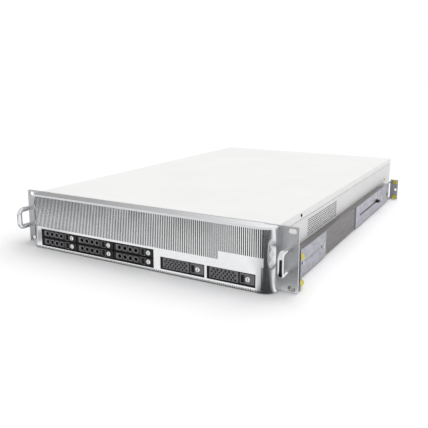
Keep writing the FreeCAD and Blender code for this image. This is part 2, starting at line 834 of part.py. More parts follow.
# Release buttons with two grip ribs, and key locks with a stepped nose
def release_master(tray):
    span = (tray["release"], tray["release"] + " + release_width")
    low = "%s/2 - %s/2" % (tray["high"], tray["release_high"])
    top = "%s/2 + %s/2" % (tray["high"], tray["release_high"])
    front = "release_sink"
    base = block(span, (front + " + release_rib", front + " + release_depth"), (low, top))
    ribs = []
    for left in (tray["release"], tray["release"] + " + release_width - release_rib"):
        ribs.append(block((left, left + " + release_rib"), (front, front + " + release_rib"), (low, top)))
    return fuse(base, *ribs)


def lock_master(tray):
    middle = tray["high"] + "/2"
    nose = prism("y", LOCK_SIDES, "lock_radius - lock_edge", "lock_edge", tray["lock"], "-lock_proud", middle)
    barrel = prism("y", LOCK_SIDES, "lock_radius", "lock_length - lock_edge", tray["lock"],
                   "-lock_proud + lock_edge", middle)
    key_slot = block(
        (tray["lock"] + " - key_slot_wide/2", tray["lock"] + " + key_slot_wide/2"),
        ("-2*lock_proud", "key_slot_deep - lock_proud"),
        (middle + " - key_slot_high/2", middle + " + key_slot_high/2"),
    )
    return cut(fuse(nose, barrel), key_slot)


LOW_SET = (tray_master(LOW_TRAY), low_lever(), release_master(LOW_TRAY), lock_master(LOW_TRAY))
TALL_SET = (tray_master(TALL_TRAY), tall_lever(), release_master(TALL_TRAY), lock_master(TALL_TRAY))
for number, (bay, tray) in enumerate(TRAYS, 1):
    masters = LOW_SET if tray is LOW_TRAY else TALL_SET
    corner = ("%s - %s/2" % (bay[0], tray["wide"]), "tray_face", "%s - %s/2" % (bay[1], tray["high"]))
    for kind, master in zip(("drive_tray", "tray_lever", "tray_release", "tray_lock"), masters):
        node("%s_%d" % (kind, number), copy(master, *corner))

# Cooling fans: a framed bore with a spoked motor mount, and a bladed rotor in front of it
FAN_MIDDLE = "(%s + fan_size/2)" % DECK
MOUNT_FRONT = "(fan_front + fan_depth - fan_mount_thick)"
fan_shell = cut(
    block(("-fan_size/2", "fan_size/2"), ("fan_front", "fan_front + fan_depth"), (DECK, DECK + " + fan_size")),
    prism("y", FAN_SIDES, bore_radius(FAN_SIDES, "fan_bore"), "3*fan_depth", "0", "fan_front - fan_depth",
          FAN_MIDDLE),
)
motor_mount = prism("y", HUB_SIDES, "fan_mount_radius", "fan_mount_thick", "0", MOUNT_FRONT, FAN_MIDDLE)
MOUNT_SPAN = (MOUNT_FRONT, "fan_front + fan_depth")
spokes = [
    block(("-fan_bore - fan_spoke/2", "fan_bore + fan_spoke/2"), MOUNT_SPAN,
          (FAN_MIDDLE + " - fan_spoke/2", FAN_MIDDLE + " + fan_spoke/2")),
    block(("-fan_spoke/2", "fan_spoke/2"), MOUNT_SPAN,
          (FAN_MIDDLE + " - fan_bore - fan_spoke/2", FAN_MIDDLE + " + fan_bore + fan_spoke/2")),
]
fan_frame = fuse(fan_shell, motor_mount, *spokes)
node("fan_frames", group(*[copy(fan_frame, "%d*fan_pitch" % step) for step in (-1, 0, 1)]))

HUB_FRONT = "-fan_gap - hub_length"
hub = prism("y", HUB_SIDES, "hub_radius", "hub_length", "0", HUB_FRONT, "0")
blade_stock = doc.addObject("Part::Box", "blade")
bind(blade_stock, Length="blade_thick", Width="blade_chord", Height="blade_tip - hub_radius + blade_thick")
move(blade_stock, "-blade_thick/2", "-blade_chord/2", "hub_radius - blade_thick")
blades = []
for step in range(count("blade_count")):
    pitched = group(blade_stock)
    pitched.Placement = Placement(Vector(), Rotation(Vector(0, 0, 1), 1))
    bind(pitched, Placement__Rotation__Angle="blade_pitch_angle")
    spun = group(pitched)
    spun.Placement = Placement(Vector(), Rotation(Vector(0, 1, 0), 1))
    bind(spun, Placement__Rotation__Angle="%d*360/blade_count" % step)
    blades.append(move(spun, y="-fan_gap - hub_length/2"))
rotor = fuse(hub, *blades)
for number, step in enumerate((-1, 0, 1), 1):
    node("fan_rotor_%d" % number, copy(rotor, "%d*fan_pitch" % step, MOUNT_FRONT, FAN_MIDDLE))

# Main board with processor sockets, memory slots and the rear port block
board = block(
    ("main_board_left", "main_board_left + main_board_width"),
    ("main_board_front", "main_board_front + main_board_depth"), (BOARD_LOW, BOARD_TOP),
)
board_parts = [board]
SOCKETS = ["socket_left + %d*socket_pitch" % step for step in (0, 1)]
for left in SOCKETS:
    board_parts.append(block((left, left + " + socket_size"), ("socket_front", "socket_front + socket_size"),
                             (BOARD_TOP, BOARD_TOP + " + socket_height")))
MODULES = []
for bank in (0, 1):
    for step in range(count("module_count")):
        MODULES.append("module_left + %d*socket_pitch + %d*module_pitch" % (bank, step))
SLOT_TOP = "(%s + module_slot_height)" % BOARD_TOP
for left in MODULES:
    slot = block(
        (left + " - module_slot_width/2", left + " + module_slot_width/2"),
        ("module_front - module_slot_margin", "module_front + module_length + module_slot_margin"),
        (BOARD_TOP, SLOT_TOP),
    )
    groove = block(
        (left + " - module_thick/2", left + " + module_thick/2"),
        ("module_front", "module_front + module_length"), (SLOT_TOP + " - module_bite", SLOT_TOP + " + module_bite"),
    )
    board_parts.append(cut(slot, groove))
port_block = block(
    ("port_left", "port_left + port_width"), ("chassis_depth - port_depth", "chassis_depth"),
    (BOARD_TOP, BOARD_TOP + " + port_height"),
)
jacks = []
for kind in ("jack", "wide_jack"):
    for step in range(count(kind + "_count")):
        middle = "port_left + port_width/2 + %s_pitch*(%d - (%s_count - 1)/2)" % (kind, step, kind)
        low = "%s + %s_base" % (BOARD_TOP, kind)
        jacks.append(block(
            ("%s - %s_width/2" % (middle, kind), "%s + %s_width/2" % (middle, kind)),
            ("chassis_depth - jack_depth", "chassis_depth + sheet"), (low, "%s + %s_height" % (low, kind)),
        ))
board_parts.append(cut(port_block, *jacks))
node("motherboard", fuse(*board_parts))

modules = []
for left in MODULES:
    modules.append(block(
        (left + " - module_thick/2", left + " + module_thick/2"),
        ("module_front", "module_front + module_length"),
        (SLOT_TOP + " - module_bite", SLOT_TOP + " - module_bite + module_height"),
    ))
node("memory_modules", group(*modules))

# Finned heat sinks on the processor sockets
SINK_LOW = "(%s + socket_height)" % BOARD_TOP
sinks = []
for left in SOCKETS:
    side = "%s + socket_size/2 - sink_size/2" % left
    front = "socket_front + socket_size/2 - sink_size/2"
    stock = block((side, side + " + sink_size"), (front, front + " + sink_size"),
                  (SINK_LOW, SINK_LOW + " + sink_height"))
    gaps = []
    for step in range(int((value("sink_size") - value("sink_fin")) / value("sink_fin_pitch"))):
        gap_left = "%s + sink_fin + %d*sink_fin_pitch" % (side, step)
        gaps.append(block((gap_left, gap_left + " + sink_fin_pitch - sink_fin"),
                          (front + " - sink_fin", front + " + sink_size + sink_fin"),
                          (SINK_LOW + " + sink_base", SINK_LOW + " + sink_height + sink_fin")))
    sinks.append(cut(stock, *gaps))
node("cpu_heatsinks", group(*sinks))

# Blank covers behind the card openings
covers = []
for card in range(count("card_count")):
    left = "card_left + %d*card_pitch" % card
    plate = block((left, left + " + card_width"), ("chassis_depth - 2*sheet", "chassis_depth - sheet"),
                  ("card_base - sheet", "card_base + card_height + sheet"))
    lip = block((left, left + " + card_width"), ("chassis_depth - 8*sheet", "chassis_depth - 2*sheet"),
                ("card_base + card_height", "card_base + card_height + sheet"))
    covers.append(fuse(plate, lip))
node("slot_covers", group(*covers))

# Power supply: a sheet housing in its rear opening with an inlet socket and exhaust slots
SUPPLY_TOP = "(%s + supply_height)" % DECK
SUPPLY_REAR = "(chassis_depth - supply_wall)"
housing = cut(
    block(("supply_left", "supply_left + supply_width"),
          ("chassis_depth - supply_length", "chassis_depth"), (DECK, SUPPLY_TOP)),
    block(("supply_left + supply_wall", "supply_left + supply_width - supply_wall"),
          ("chassis_depth - supply_length - supply_wall", SUPPLY_REAR),
          (DECK + " + supply_wall", SUPPLY_TOP + " - supply_wall")),
)
SUPPLY_MIDDLE = "supply_left + supply_width/2"
INLET_LOW = "%s + inlet_base" % DECK


def inlet(margin, front, rear):
    return block(
        ("%s - inlet_width/2 - %s" % (SUPPLY_MIDDLE, margin), "%s + inlet_width/2 + %s" % (SUPPLY_MIDDLE, margin)),
        (front, rear),
        ("%s - %s" % (INLET_LOW, margin), "%s + inlet_height + %s" % (INLET_LOW, margin)),
    )


socket_shell = inlet("supply_wall", "chassis_depth - inlet_depth - supply_wall", "chassis_depth")
supply_cuts = [inlet("0", "chassis_depth - inlet_depth", "chassis_depth + sheet")]
for step in range(count("supply_vent_count")):
    left = "%s + supply_vent_pitch*(%d - supply_vent_count/2) + supply_vent_pitch/4" % (SUPPLY_MIDDLE, step)
    supply_cuts.append(block(
        (left, left + " + supply_vent"), (SUPPLY_REAR + " - sheet", "chassis_depth + sheet"),
        (SUPPLY_TOP + " - supply_vent_margin - supply_vent_height", SUPPLY_TOP + " - supply_vent_margin"),
    ))
node("power_supply", cut(fuse(housing, socket_shell), *supply_cuts))

# Slide rails: inner channels on the side walls, outer channels that carry the rack brackets
RAIL_FACE = "(%s + rail_width)" % HALF
RAIL_TOP = "(rail_middle + rail_height/2)"
RAIL_LOW = "(rail_middle - rail_height/2)"
INNER_TOP = "(%s - rail_sheet - rail_play)" % RAIL_TOP
INNER_LOW = "(%s + rail_sheet + rail_play)" % RAIL_LOW


def channel(name, back, lips, low, high, front, rear):
    body = doc.addObject("PartDesign::Body", name)
    inward = "rail_sheet" if back == HALF else "(-rail_sheet)"
    fold = [
        (back, low), (lips, low), (lips, low + " + rail_sheet"), ("%s + %s" % (back, inward), low + " + rail_sheet"),
        ("%s + %s" % (back, inward), high + " - rail_sheet"), (lips, high + " - rail_sheet"), (lips, high), (back, high),
    ]
    pad(body, sketch(body, "XZ_Plane", fold), "%s - %s" % (rear, front), True)
    return move(body, y=front)


inner_rail = channel("inner_body", HALF, HALF + " + rail_inner_width", INNER_LOW, INNER_TOP,
                     "rail_inner_front", "rail_inner_rear")
node("rail_inner_members", group(inner_rail, mirror(inner_rail)))
outer_rail = channel("outer_body", RAIL_FACE, HALF + " + rail_side_gap", RAIL_LOW, RAIL_TOP,
                     "rail_outer_front", "rail_outer_rear")
node("rail_outer_right", outer_rail)
node("rail_outer_left", mirror(outer_rail))

PLATE = (RAIL_FACE, RAIL_FACE + " + bracket_sheet")
PLATE_RISE = ("rail_middle - bracket_height/2", "rail_middle + bracket_height/2")
FLANGE = (RAIL_FACE, RAIL_FACE + " + bracket_flange")
front_plate = fuse(
    block(PLATE, ("bracket_front", "front_bracket_rear"), PLATE_RISE),
    block(FLANGE, ("bracket_front", "bracket_front + bracket_sheet"), ("bracket_flange_base", "bracket_flange_top")),
)
front_bracket = cut(
    front_plate,
    prism("x", HOLE_SIDES, "bracket_hole_radius", "3*bracket_sheet", RAIL_FACE + " - bracket_sheet",
          "bracket_hole_place", "rail_middle"),
    block((PLATE[1], "rack_pin_place - flange_tab/2"),
          ("bracket_front - bracket_sheet", "bracket_front + 2*bracket_sheet"),
          ("bracket_flange_base - bracket_sheet", "flange_notch_top")),
    block((RAIL_FACE + " + bracket_sheet - bracket_groove_depth", RAIL_FACE + " + 2*bracket_sheet"),
          ("bracket_groove_front", "bracket_groove_rear"),
          ("rail_middle - bracket_groove_height/2", "rail_middle + bracket_groove_height/2")),
)
node("rail_front_bracket_right", front_bracket)
node("rail_front_bracket_left", mirror(front_bracket))

rear_plate = fuse(
    block(PLATE, ("rear_bracket_front", "rear_bracket_rear"), PLATE_RISE),
    block(FLANGE, ("rear_bracket_rear - bracket_sheet", "rear_bracket_rear"),
          ("bracket_flange_base", "rear_flange_top")),
)
rear_bracket = cut(
    rear_plate,
    block((RAIL_FACE + " - bracket_sheet", RAIL_FACE + " + 2*bracket_sheet"),
          ("reach_window_front", "reach_window_rear"),
          (PLATE_RISE[0] + " + reach_window_margin", PLATE_RISE[1] + " - reach_window_margin")),
    block((RAIL_FACE + " - bracket_sheet", RAIL_FACE + " + 2*bracket_sheet"),
          ("adjust_slot_front", "adjust_slot_rear"),
          ("rail_middle - adjust_slot_height/2", "rail_middle + adjust_slot_height/2")),
    prism("y", HOLE_SIDES, "bracket_hole_radius", "3*bracket_sheet", "rack_pin_place",
          "rear_bracket_rear - 2*bracket_sheet", "rail_middle"),
)
node("rail_rear_bracket_right", rear_bracket)
node("rail_rear_bracket_left", mirror(rear_bracket))

rack_pins = group(*[
    prism("y", 6, "rack_pin_radius", "rack_pin_length", "rack_pin_place", "bracket_front + bracket_sheet", level)
    for level in ("rack_pin_low", "rack_pin_high")
])
node("rail_pins_right", rack_pins)
node("rail_pins_left", mirror(rack_pins))

# Build, check every object and write one file per node
doc.recompute()
for item in doc.Objects:
    if "Invalid" in item.State or "Error" in item.State:
        raise RuntimeError("%s did not build: %s" % (item.Name, item.State))
os.makedirs("parts", exist_ok=True)
for name, item in NODES:
    if item.Shape.isNull() or not item.Shape.isValid():
        raise RuntimeError("%s has no valid shape" % name)
    item.Shape.exportStep("parts/%s.step" % name)
    print(name, len(item.Shape.Solids), round(item.Shape.Volume))
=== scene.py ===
import json
import math

import bmesh
import bpy
from mathutils import Matrix, Vector


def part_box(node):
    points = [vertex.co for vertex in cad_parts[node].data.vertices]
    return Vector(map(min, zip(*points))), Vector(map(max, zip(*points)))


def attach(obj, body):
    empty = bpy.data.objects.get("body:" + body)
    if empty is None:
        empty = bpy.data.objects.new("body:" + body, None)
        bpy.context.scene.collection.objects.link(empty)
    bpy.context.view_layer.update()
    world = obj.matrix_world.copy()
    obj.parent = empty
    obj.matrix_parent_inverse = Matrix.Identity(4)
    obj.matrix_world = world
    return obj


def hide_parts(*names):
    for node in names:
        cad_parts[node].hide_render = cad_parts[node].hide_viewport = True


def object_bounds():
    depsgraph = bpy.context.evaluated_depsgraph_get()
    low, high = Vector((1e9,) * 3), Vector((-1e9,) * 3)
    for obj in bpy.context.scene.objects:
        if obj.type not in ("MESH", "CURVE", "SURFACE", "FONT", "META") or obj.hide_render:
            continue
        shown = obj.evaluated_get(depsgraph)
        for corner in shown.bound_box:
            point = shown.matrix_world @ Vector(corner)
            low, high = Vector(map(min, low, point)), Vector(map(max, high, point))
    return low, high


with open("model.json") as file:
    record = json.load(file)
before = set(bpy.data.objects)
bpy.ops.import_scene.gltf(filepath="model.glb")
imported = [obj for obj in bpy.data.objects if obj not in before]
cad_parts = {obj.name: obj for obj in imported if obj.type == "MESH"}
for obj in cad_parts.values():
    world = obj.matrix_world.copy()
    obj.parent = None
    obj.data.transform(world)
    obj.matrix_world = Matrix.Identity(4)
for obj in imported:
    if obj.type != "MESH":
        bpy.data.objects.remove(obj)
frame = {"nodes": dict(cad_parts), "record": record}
CAD_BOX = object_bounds()
NODES = frame["nodes"]
FLOOR_LEVEL, LID_LEVEL = CAD_BOX[0].z, CAD_BOX[1].z
MM = 0.001
HANDED = ((-1, "left"), (1, "right"))
TRAYS, LOW_TRAYS, TALL_TRAYS = range(1, 9), range(1, 7), range(7, 9)


# Node and colour helpers
def linear(code):
    """An sRGB hex colour as linear red, green, blue and full alpha."""
    channels = []
    for start in (1, 3, 5):
        share = int(code[start:start + 2], 16) / 255
        channels.append(share / 12.92 if share <= 0.04045 else ((share + 0.055) / 1.055) ** 2.4)
    return (*channels, 1.0)


def per_mm(size):
    """Texture scale whose pattern repeats about every so many millimetres."""
    return 1 / (size * MM)


def add(tree, kind, inputs=None, **settings):
    """Adds a shader node with its settings, and sets or links its inputs.

    A node that is given for an input stands for its first live output.
    """
    item = tree.nodes.new("ShaderNode" + kind)
    for name, value in settings.items():
        setattr(item, name, value)
    for name, value in (inputs or {}).items():
        if isinstance(value, bpy.types.Node):
            value = next(output for output in value.outputs if output.enabled)
        if isinstance(value, bpy.types.NodeSocket):
            tree.links.new(value, item.inputs[name])
        else:
            item.inputs[name].default_value = value
    return item


def bare(name):
    """A new material with its empty tree and the object coordinates there."""
    material = bpy.data.materials.new(name)
    material.use_nodes = True
    tree = material.node_tree
    tree.nodes.clear()
    return material, tree, add(tree, "TexCoord").outputs["Object"]


def finished(material, sockets):
    """The material, closed with a shader that has these links and even values."""
    shader = add(material.node_tree, "BsdfPrincipled", sockets)
    add(material.node_tree, "OutputMaterial", {"Surface": shader})
    return material


# Sockets of a colour mix, which share their names, and the span that most of a noise lies in
FACTOR, FIRST, SECOND = 0, 6, 7
NOISE_SPAN = {"From Min": 0.3, "From Max": 0.7}


# Finishes
def powder_coat(name, light, shade, rough):
    # Powder coat baked on steel sheet: an even satin with fine orange peel and faint handling marks
    material, tree, place = bare(name)
    cloud = add(tree, "TexNoise", {"Vector": place, "Scale": per_mm(90), "Detail": 3.0})
    drift = add(tree, "MapRange", {"Value": cloud, **NOISE_SPAN})
    colour = add(tree, "Mix", {FACTOR: drift, FIRST: linear(light), SECOND: linear(shade)}, data_type="RGBA")
    marks = add(tree, "TexNoise", {"Vector": place, "Scale": per_mm(25), "Detail": 4.0})
    gloss = add(tree, "MapRange", {
        "Value": marks, **NOISE_SPAN, "To Min": rough - 0.05, "To Max": rough + 0.06})
    peel = add(tree, "TexNoise", {"Vector": place, "Scale": per_mm(1.4), "Detail": 1.0})
    bump = add(tree, "Bump", {"Height": peel, "Distance": 0.012 * MM, "Strength": 1.0})
    return finished(material, {"Base Color": colour, "Roughness": gloss, "Normal": bump, "IOR": 1.5})


def silver_lacquer(name):
    # Silver lacquer over a moulding: metal flake under clear coat, bright where it mirrors the floor.
    # Real flakes are far finer. They are drawn half a millimetre wide, so that they show.
    material, tree, place = bare(name)
    flake = add(tree, "TexVoronoi", {"Vector": place, "Scale": per_mm(0.5)})
    spark = add(tree, "SeparateColor", {"Color": flake.outputs["Color"]})
    colour = add(tree, "Mix", {FACTOR: spark, FIRST: linear("#E9EAEB"), SECOND: linear("#DDDEE0")},
                 data_type="RGBA")
    haze = add(tree, "TexNoise", {"Vector": place, "Scale": per_mm(30), "Detail": 3.0})
    gloss = add(tree, "MapRange", {"Value": haze, **NOISE_SPAN, "To Min": 0.17, "To Max": 0.22})
    flow = add(tree, "TexNoise", {"Vector": place, "Scale": per_mm(2.2), "Detail": 1.0})
    bump = add(tree, "Bump", {"Height": flow, "Distance": 0.004 * MM, "Strength": 1.0})
    return finished(material, {"Base Color": colour, "Roughness": gloss, "Normal": bump, "Metallic": 0.92,
                               "Coat Weight": 0.35, "Coat Roughness": 0.14})


def anodised_aluminium(name):
    # Bead-blasted and anodised aluminium: mid grey, soft gloss, faint rolling lines across the plate.
    # The blasted grain is drawn coarser than the real one, so that it shows.
    material, tree, place = bare(name)
    rolled = add(tree, "Mapping", {"Vector": place, "Scale": (0.04, 1, 1.6)})
    lines = add(tree, "TexNoise", {"Vector": rolled, "Scale": per_mm(1.0), "Detail": 3.0})
    drift = add(tree, "MapRange", {"Value": lines, **NOISE_SPAN})
    colour = add(tree, "Mix", {FACTOR: drift, FIRST: linear("#DADBDD"), SECOND: linear("#CFD0D2")},
                 data_type="RGBA")
    haze = add(tree, "TexNoise", {"Vector": place, "Scale": per_mm(8), "Detail": 4.0})
    gloss = add(tree, "MapRange", {"Value": haze, **NOISE_SPAN, "To Min": 0.55, "To Max": 0.65})
    grain = add(tree, "TexNoise", {"Vector": place, "Scale": per_mm(0.6), "Detail": 2.0})
    bump = add(tree, "Bump", {"Height": grain, "Distance": 0.01 * MM, "Strength": 1.0})
    return finished(material, {"Base Color": colour, "Roughness": gloss, "Normal": bump, "Metallic": 1.0})


def bright_plating(name, colour, rough):
    # Chrome, nickel or zinc plated on polished steel: mirror bright with upright wiping marks.
    # The marks are drawn wider than real hairlines, so that they show.
    material, tree, place = bare(name)
    wiped = add(tree, "Mapping", {"Vector": place, "Scale": (1, 1, 0.08)})
    marks = add(tree, "TexNoise", {"Vector": wiped, "Scale": per_mm(1.5), "Detail": 4.0})
    drift = add(tree, "MapRange", {"Value": marks, **NOISE_SPAN})
    tone = add(tree, "Mix", {FACTOR: drift, FIRST: linear(colour), SECOND: linear("#D9DADC")},
               data_type="RGBA")
    gloss = add(tree, "MapRange", {"Value": marks, **NOISE_SPAN, "To Min": rough, "To Max": rough + 0.06})
    return finished(material, {"Base Color": tone, "Roughness": gloss, "Metallic": 1.0})


def galvanised_steel(name, light, shade, rough):
    # Hot-dip galvanised sheet: bluish grey spangle of crystals a few millimetres wide
    material, tree, place = bare(name)
    crystal = add(tree, "TexVoronoi", {"Vector": place, "Scale": per_mm(5)})
    spangle = add(tree, "SeparateColor", {"Color": crystal.outputs["Color"]}).outputs["Green"]
    colour = add(tree, "Mix", {FACTOR: spangle, FIRST: linear(light), SECOND: linear(shade)},
                 data_type="RGBA")
    gloss = add(tree, "MapRange", {
        "Value": spangle, **NOISE_SPAN, "To Min": rough - 0.07, "To Max": rough + 0.08})
    wave = add(tree, "TexNoise", {"Vector": place, "Scale": per_mm(3), "Detail": 2.0})
    bump = add(tree, "Bump", {"Height": wave, "Distance": 0.006 * MM, "Strength": 1.0})
    return finished(material, {"Base Color": colour, "Roughness": gloss, "Normal": bump, "Metallic": 1.0})


def dark_phosphate(name):
    # Phosphated and oiled steel: warm dark grey with the lines of the drawing die along the rail.
    # The lines are coarser than the real ones, so that they show.
    material, tree, place = bare(name)
    along = add(tree, "Mapping", {"Vector": place, "Scale": (1, 0.02, 1)})
    drawn = add(tree, "TexNoise", {"Vector": along, "Scale": per_mm(1.2), "Detail": 3.0})
    drift = add(tree, "MapRange", {"Value": drawn, **NOISE_SPAN})
    colour = add(tree, "Mix", {FACTOR: drift, FIRST: linear("#7F7C7B"), SECOND: linear("#6F6C6B")},
                 data_type="RGBA")
    gloss = add(tree, "MapRange", {"Value": drawn, **NOISE_SPAN, "To Min": 0.42, "To Max": 0.56})
    bump = add(tree, "Bump", {"Height": drawn, "Distance": 0.01 * MM, "Strength": 1.0})
    return finished(material, {"Base Color": colour, "Roughness": gloss, "Normal": bump, "Metallic": 0.35})


def yellow_chromate(name):
    # Yellow chromate over zinc: straw yellow that drifts to a browner gold
    material, tree, place = bare(name)
    cloud = add(tree, "TexNoise", {"Vector": place, "Scale": per_mm(4), "Detail": 2.0})
    drift = add(tree, "MapRange", {"Value": cloud, **NOISE_SPAN})
    colour = add(tree, "Mix", {FACTOR: drift, FIRST: linear("#E3DC5A"), SECOND: linear("#C9B84A")},
                 data_type="RGBA")
    haze = add(tree, "TexNoise", {"Vector": place, "Scale": per_mm(1.5), "Detail": 2.0})
    gloss = add(tree, "MapRange", {"Value": haze, **NOISE_SPAN, "To Min": 0.25, "To Max": 0.4})
    return finished(material, {"Base Color": colour, "Roughness": gloss, "Metallic": 0.85})


def moulded_abs(name, light, shade, rough):
    # Injection-moulded ABS with a spark-eroded texture: matt, with an even grain.
    # The grain is drawn coarser than the real one, so that it shows.
    material, tree, place = bare(name)
    cloud = add(tree, "TexNoise", {"Vector": place, "Scale": per_mm(12), "Detail": 3.0})
    drift = add(tree, "MapRange", {"Value": cloud, **NOISE_SPAN})
    colour = add(tree, "Mix", {FACTOR: drift, FIRST: linear(light), SECOND: linear(shade)}, data_type="RGBA")
    grain = add(tree, "TexNoise", {"Vector": place, "Scale": per_mm(0.45), "Detail": 2.0})
    gloss = add(tree, "MapRange", {
        "Value": grain, **NOISE_SPAN, "To Min": rough - 0.06, "To Max": rough + 0.06})
    bump = add(tree, "Bump", {"Height": grain, "Distance": 0.02 * MM, "Strength": 1.0})
    return finished(material, {"Base Color": colour, "Roughness": gloss, "Normal": bump, "IOR": 1.53,
                               "Specular IOR Level": 0.25})


def solder_mask(name):
    # Green solder mask over copper: glossy, with lighter tracks under it.
    # Real tracks lie closer together. They are drawn 8 mm apart, so that they show.
    material, tree, place = bare(name)
    tracks = add(tree, "TexBrick", {
        "Vector": place, "Scale": per_mm(8), "Color1": linear("#1B5A34"), "Color2": linear("#184F2E"),
        "Mortar": linear("#2A7245"), "Mortar Size": 0.04})
    return finished(material, {"Base Color": tracks, "Roughness": 0.3, "IOR": 1.55})


def extruded_aluminium(name):
    # Extruded aluminium: bright, with the lines of the die along it.
    # The lines are coarser than the real ones, so that they show.
    material, tree, place = bare(name)
    along = add(tree, "Mapping", {"Vector": place, "Scale": (1, 0.02, 1)})
    lines = add(tree, "TexNoise", {"Vector": along, "Scale": per_mm(0.8), "Detail": 2.0})
    drift = add(tree, "MapRange", {"Value": lines, **NOISE_SPAN})
    colour = add(tree, "Mix", {FACTOR: drift, FIRST: linear("#D4D5D6"), SECOND: linear("#BFC0C2")},
                 data_type="RGBA")
    gloss = add(tree, "MapRange", {"Value": lines, **NOISE_SPAN, "To Min": 0.28, "To Max": 0.4})
    return finished(material, {"Base Color": colour, "Roughness": gloss, "Metallic": 1.0})


def black_oxide(name):
    # Blackened steel screws: dark, slightly oily gloss
    material, tree, place = bare(name)
    cloud = add(tree, "TexNoise", {"Vector": place, "Scale": per_mm(2), "Detail": 2.0})
    colour = add(tree, "Mix", {FACTOR: cloud, FIRST: linear("#26262A"), SECOND: linear("#17171A")},
                 data_type="RGBA")
    oil = add(tree, "TexNoise", {"Vector": place, "Scale": per_mm(1), "Detail": 2.0})
    gloss = add(tree, "MapRange", {"Value": oil, **NOISE_SPAN, "To Min": 0.3, "To Max": 0.45})
    return finished(material, {"Base Color": colour, "Roughness": gloss, "Metallic": 0.6})


COVER = powder_coat("powder_coated_cover", "#E7E7E5", "#E3E3E1", rough=0.46)
SIDES = powder_coat("powder_coated_chassis", "#DFDFDE", "#DADAD9", rough=0.46)
SILVER = silver_lacquer("silver_lacquered_bezel")
EAR = anodised_aluminium("anodised_aluminium_ear")
CHROME = bright_plating("chrome_handle", "#F2F2F3", rough=0.05)
LOCK = bright_plating("nickel_lock", "#E6E6E4", rough=0.16)
CAGE = galvanised_steel("galvanised_cage", "#C4C5C9", "#B2B3B8", rough=0.4)
SUPPLY = galvanised_steel("galvanised_supply", "#BDBEC2", "#ADAEB3", rough=0.38)
BRACKET = galvanised_steel("galvanised_bracket", "#B2B2BA", "#A8A8B1", rough=0.42)
INNER = galvanised_steel("galvanised_inner_rail", "#B9B9BA", "#A6A6A8", rough=0.4)
RAIL = dark_phosphate("phosphated_rail")
ZINC = yellow_chromate("yellow_zinc")
TRAY = moulded_abs("black_abs_tray", "#0C0C0D", "#131315", rough=0.45)
LEVER = moulded_abs("grey_abs_lever", "#7E7E80", "#737375", rough=0.5)
CHARCOAL = moulded_abs("charcoal_abs_lever", "#3C3C3E", "#444446", rough=0.5)
BUTTON = moulded_abs("dark_abs_button", "#1A1A1C", "#222224", rough=0.45)
FAN = moulded_abs("black_abs_fan", "#141415", "#1C1C1E", rough=0.5)
BOARD = solder_mask("solder_mask_board")
SINK = extruded_aluminium("extruded_heat_sink")
SCREW = black_oxide("black_oxide_screw")
BRIGHT = bright_plating("zinc_screw", "#D2D2D4", rough=0.25)

SLOT_FINISH = {
    "chassis_steel": SIDES, "cover_paint": COVER, "bezel_silver": SILVER, "ear_metal": EAR,
    "handle_chrome": CHROME, "cage_steel": CAGE, "supply_steel": SUPPLY, "board_green": BOARD,
    "module_green": BOARD, "sink_aluminium": SINK, "fan_plastic": FAN, "rail_steel": INNER,
    "rail_dark": RAIL, "bracket_zinc": BRACKET, "pin_yellow_zinc": ZINC, "tray_black": TRAY,
    "lever_grey": LEVER, "lever_dark": CHARCOAL, "release_dark": BUTTON, "lock_chrome": LOCK,
    "filter_mesh": FAN,
}
SLOT_OF = {row["node"]: row["material_slot"] for row in frame["record"]["subparts"]}
for node_name, node_object in NODES.items():
    for place_for_finish in node_object.material_slots:
        place_for_finish.material = SLOT_FINISH[SLOT_OF[node_name]]


# Broken edges: the cover, chassis, bezel, ears, rail parts, drive trays and tray releases get a small round
# that catches the light
FLAT_TURN, EDGE_TURN = math.radians(0.5), math.radians(40)


def break_edges(node_name, width):
    """Rounds the sharp edges of a node to a width in millimetres."""
    item = NODES[node_name]
    weld = item.modifiers.new("weld", "WELD")
    weld.merge_threshold = 1e-6
    flat = item.modifiers.new("flat", "DECIMATE")
    flat.decimate_type = "DISSOLVE"
    flat.angle_limit = FLAT_TURN
    edge = item.modifiers.new("edge", "BEVEL")
    edge.width = width * MM
    edge.segments = 2
    edge.limit_method = "ANGLE"
    edge.angle_limit = EDGE_TURN
    edge.use_clamp_overlap = True
    edge.harden_normals = True


EDGE_WIDTHS = {"top_cover": 0.45, "chassis_base": 0.2, "front_bezel": 0.2, "ear_left": 0.3, "ear_right": 0.3}
for side in ("left", "right"):
    for kind in ("rail_front_bracket", "rail_rear_bracket", "rail_outer", "rail_pins"):
        EDGE_WIDTHS["%s_%s" % (kind, side)] = 0.25
for number in TRAYS:
    EDGE_WIDTHS["drive_tray_%d" % number] = 0.15
    EDGE_WIDTHS["tray_release_%d" % number] = 0.15
for node_name, width in EDGE_WIDTHS.items():
    break_edges(node_name, width)

# Forms drawn in millimetres, with local x to the right, y up and z outward
QUARTER = math.radians(90)
UPRIGHT = Matrix.Rotation(QUARTER, 4, "X")
FACING = {
    "front": UPRIGHT,
    "rear": Matrix.Rotation(2 * QUARTER, 4, "Z") @ UPRIGHT,
    "right": Matrix.Rotation(QUARTER, 4, "Z") @ UPRIGHT,
    "left": Matrix.Rotation(-QUARTER, 4, "Z") @ UPRIGHT,
}
CREASE_TURN = math.radians(20)


def set_piece(name, mesh, facing, spot, finish, body):
    """Sets a form on the object, facing outward from a spot in millimetres, and lets it ride on a body."""
    mesh.transform(Matrix.Translation(Vector(spot) * MM) @ FACING[facing] @ Matrix.Scale(MM, 4))
    mesh.materials.clear()
    mesh.materials.append(finish)
    mesh.shade_smooth()
    mesh.set_sharp_from_angle(angle=CREASE_TURN)
    item = bpy.data.objects.new(name, mesh)
    bpy.context.scene.collection.objects.link(item)
    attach(item, body)
    return item


def round_loop(sides, radius, x=0.0, y=0.0):
    """Corners of a regular outline round a point."""
    turns = [2 * math.pi * step / sides for step in range(sides)]
    return [(x + radius * math.cos(turn), y + radius * math.sin(turn)) for turn in turns]


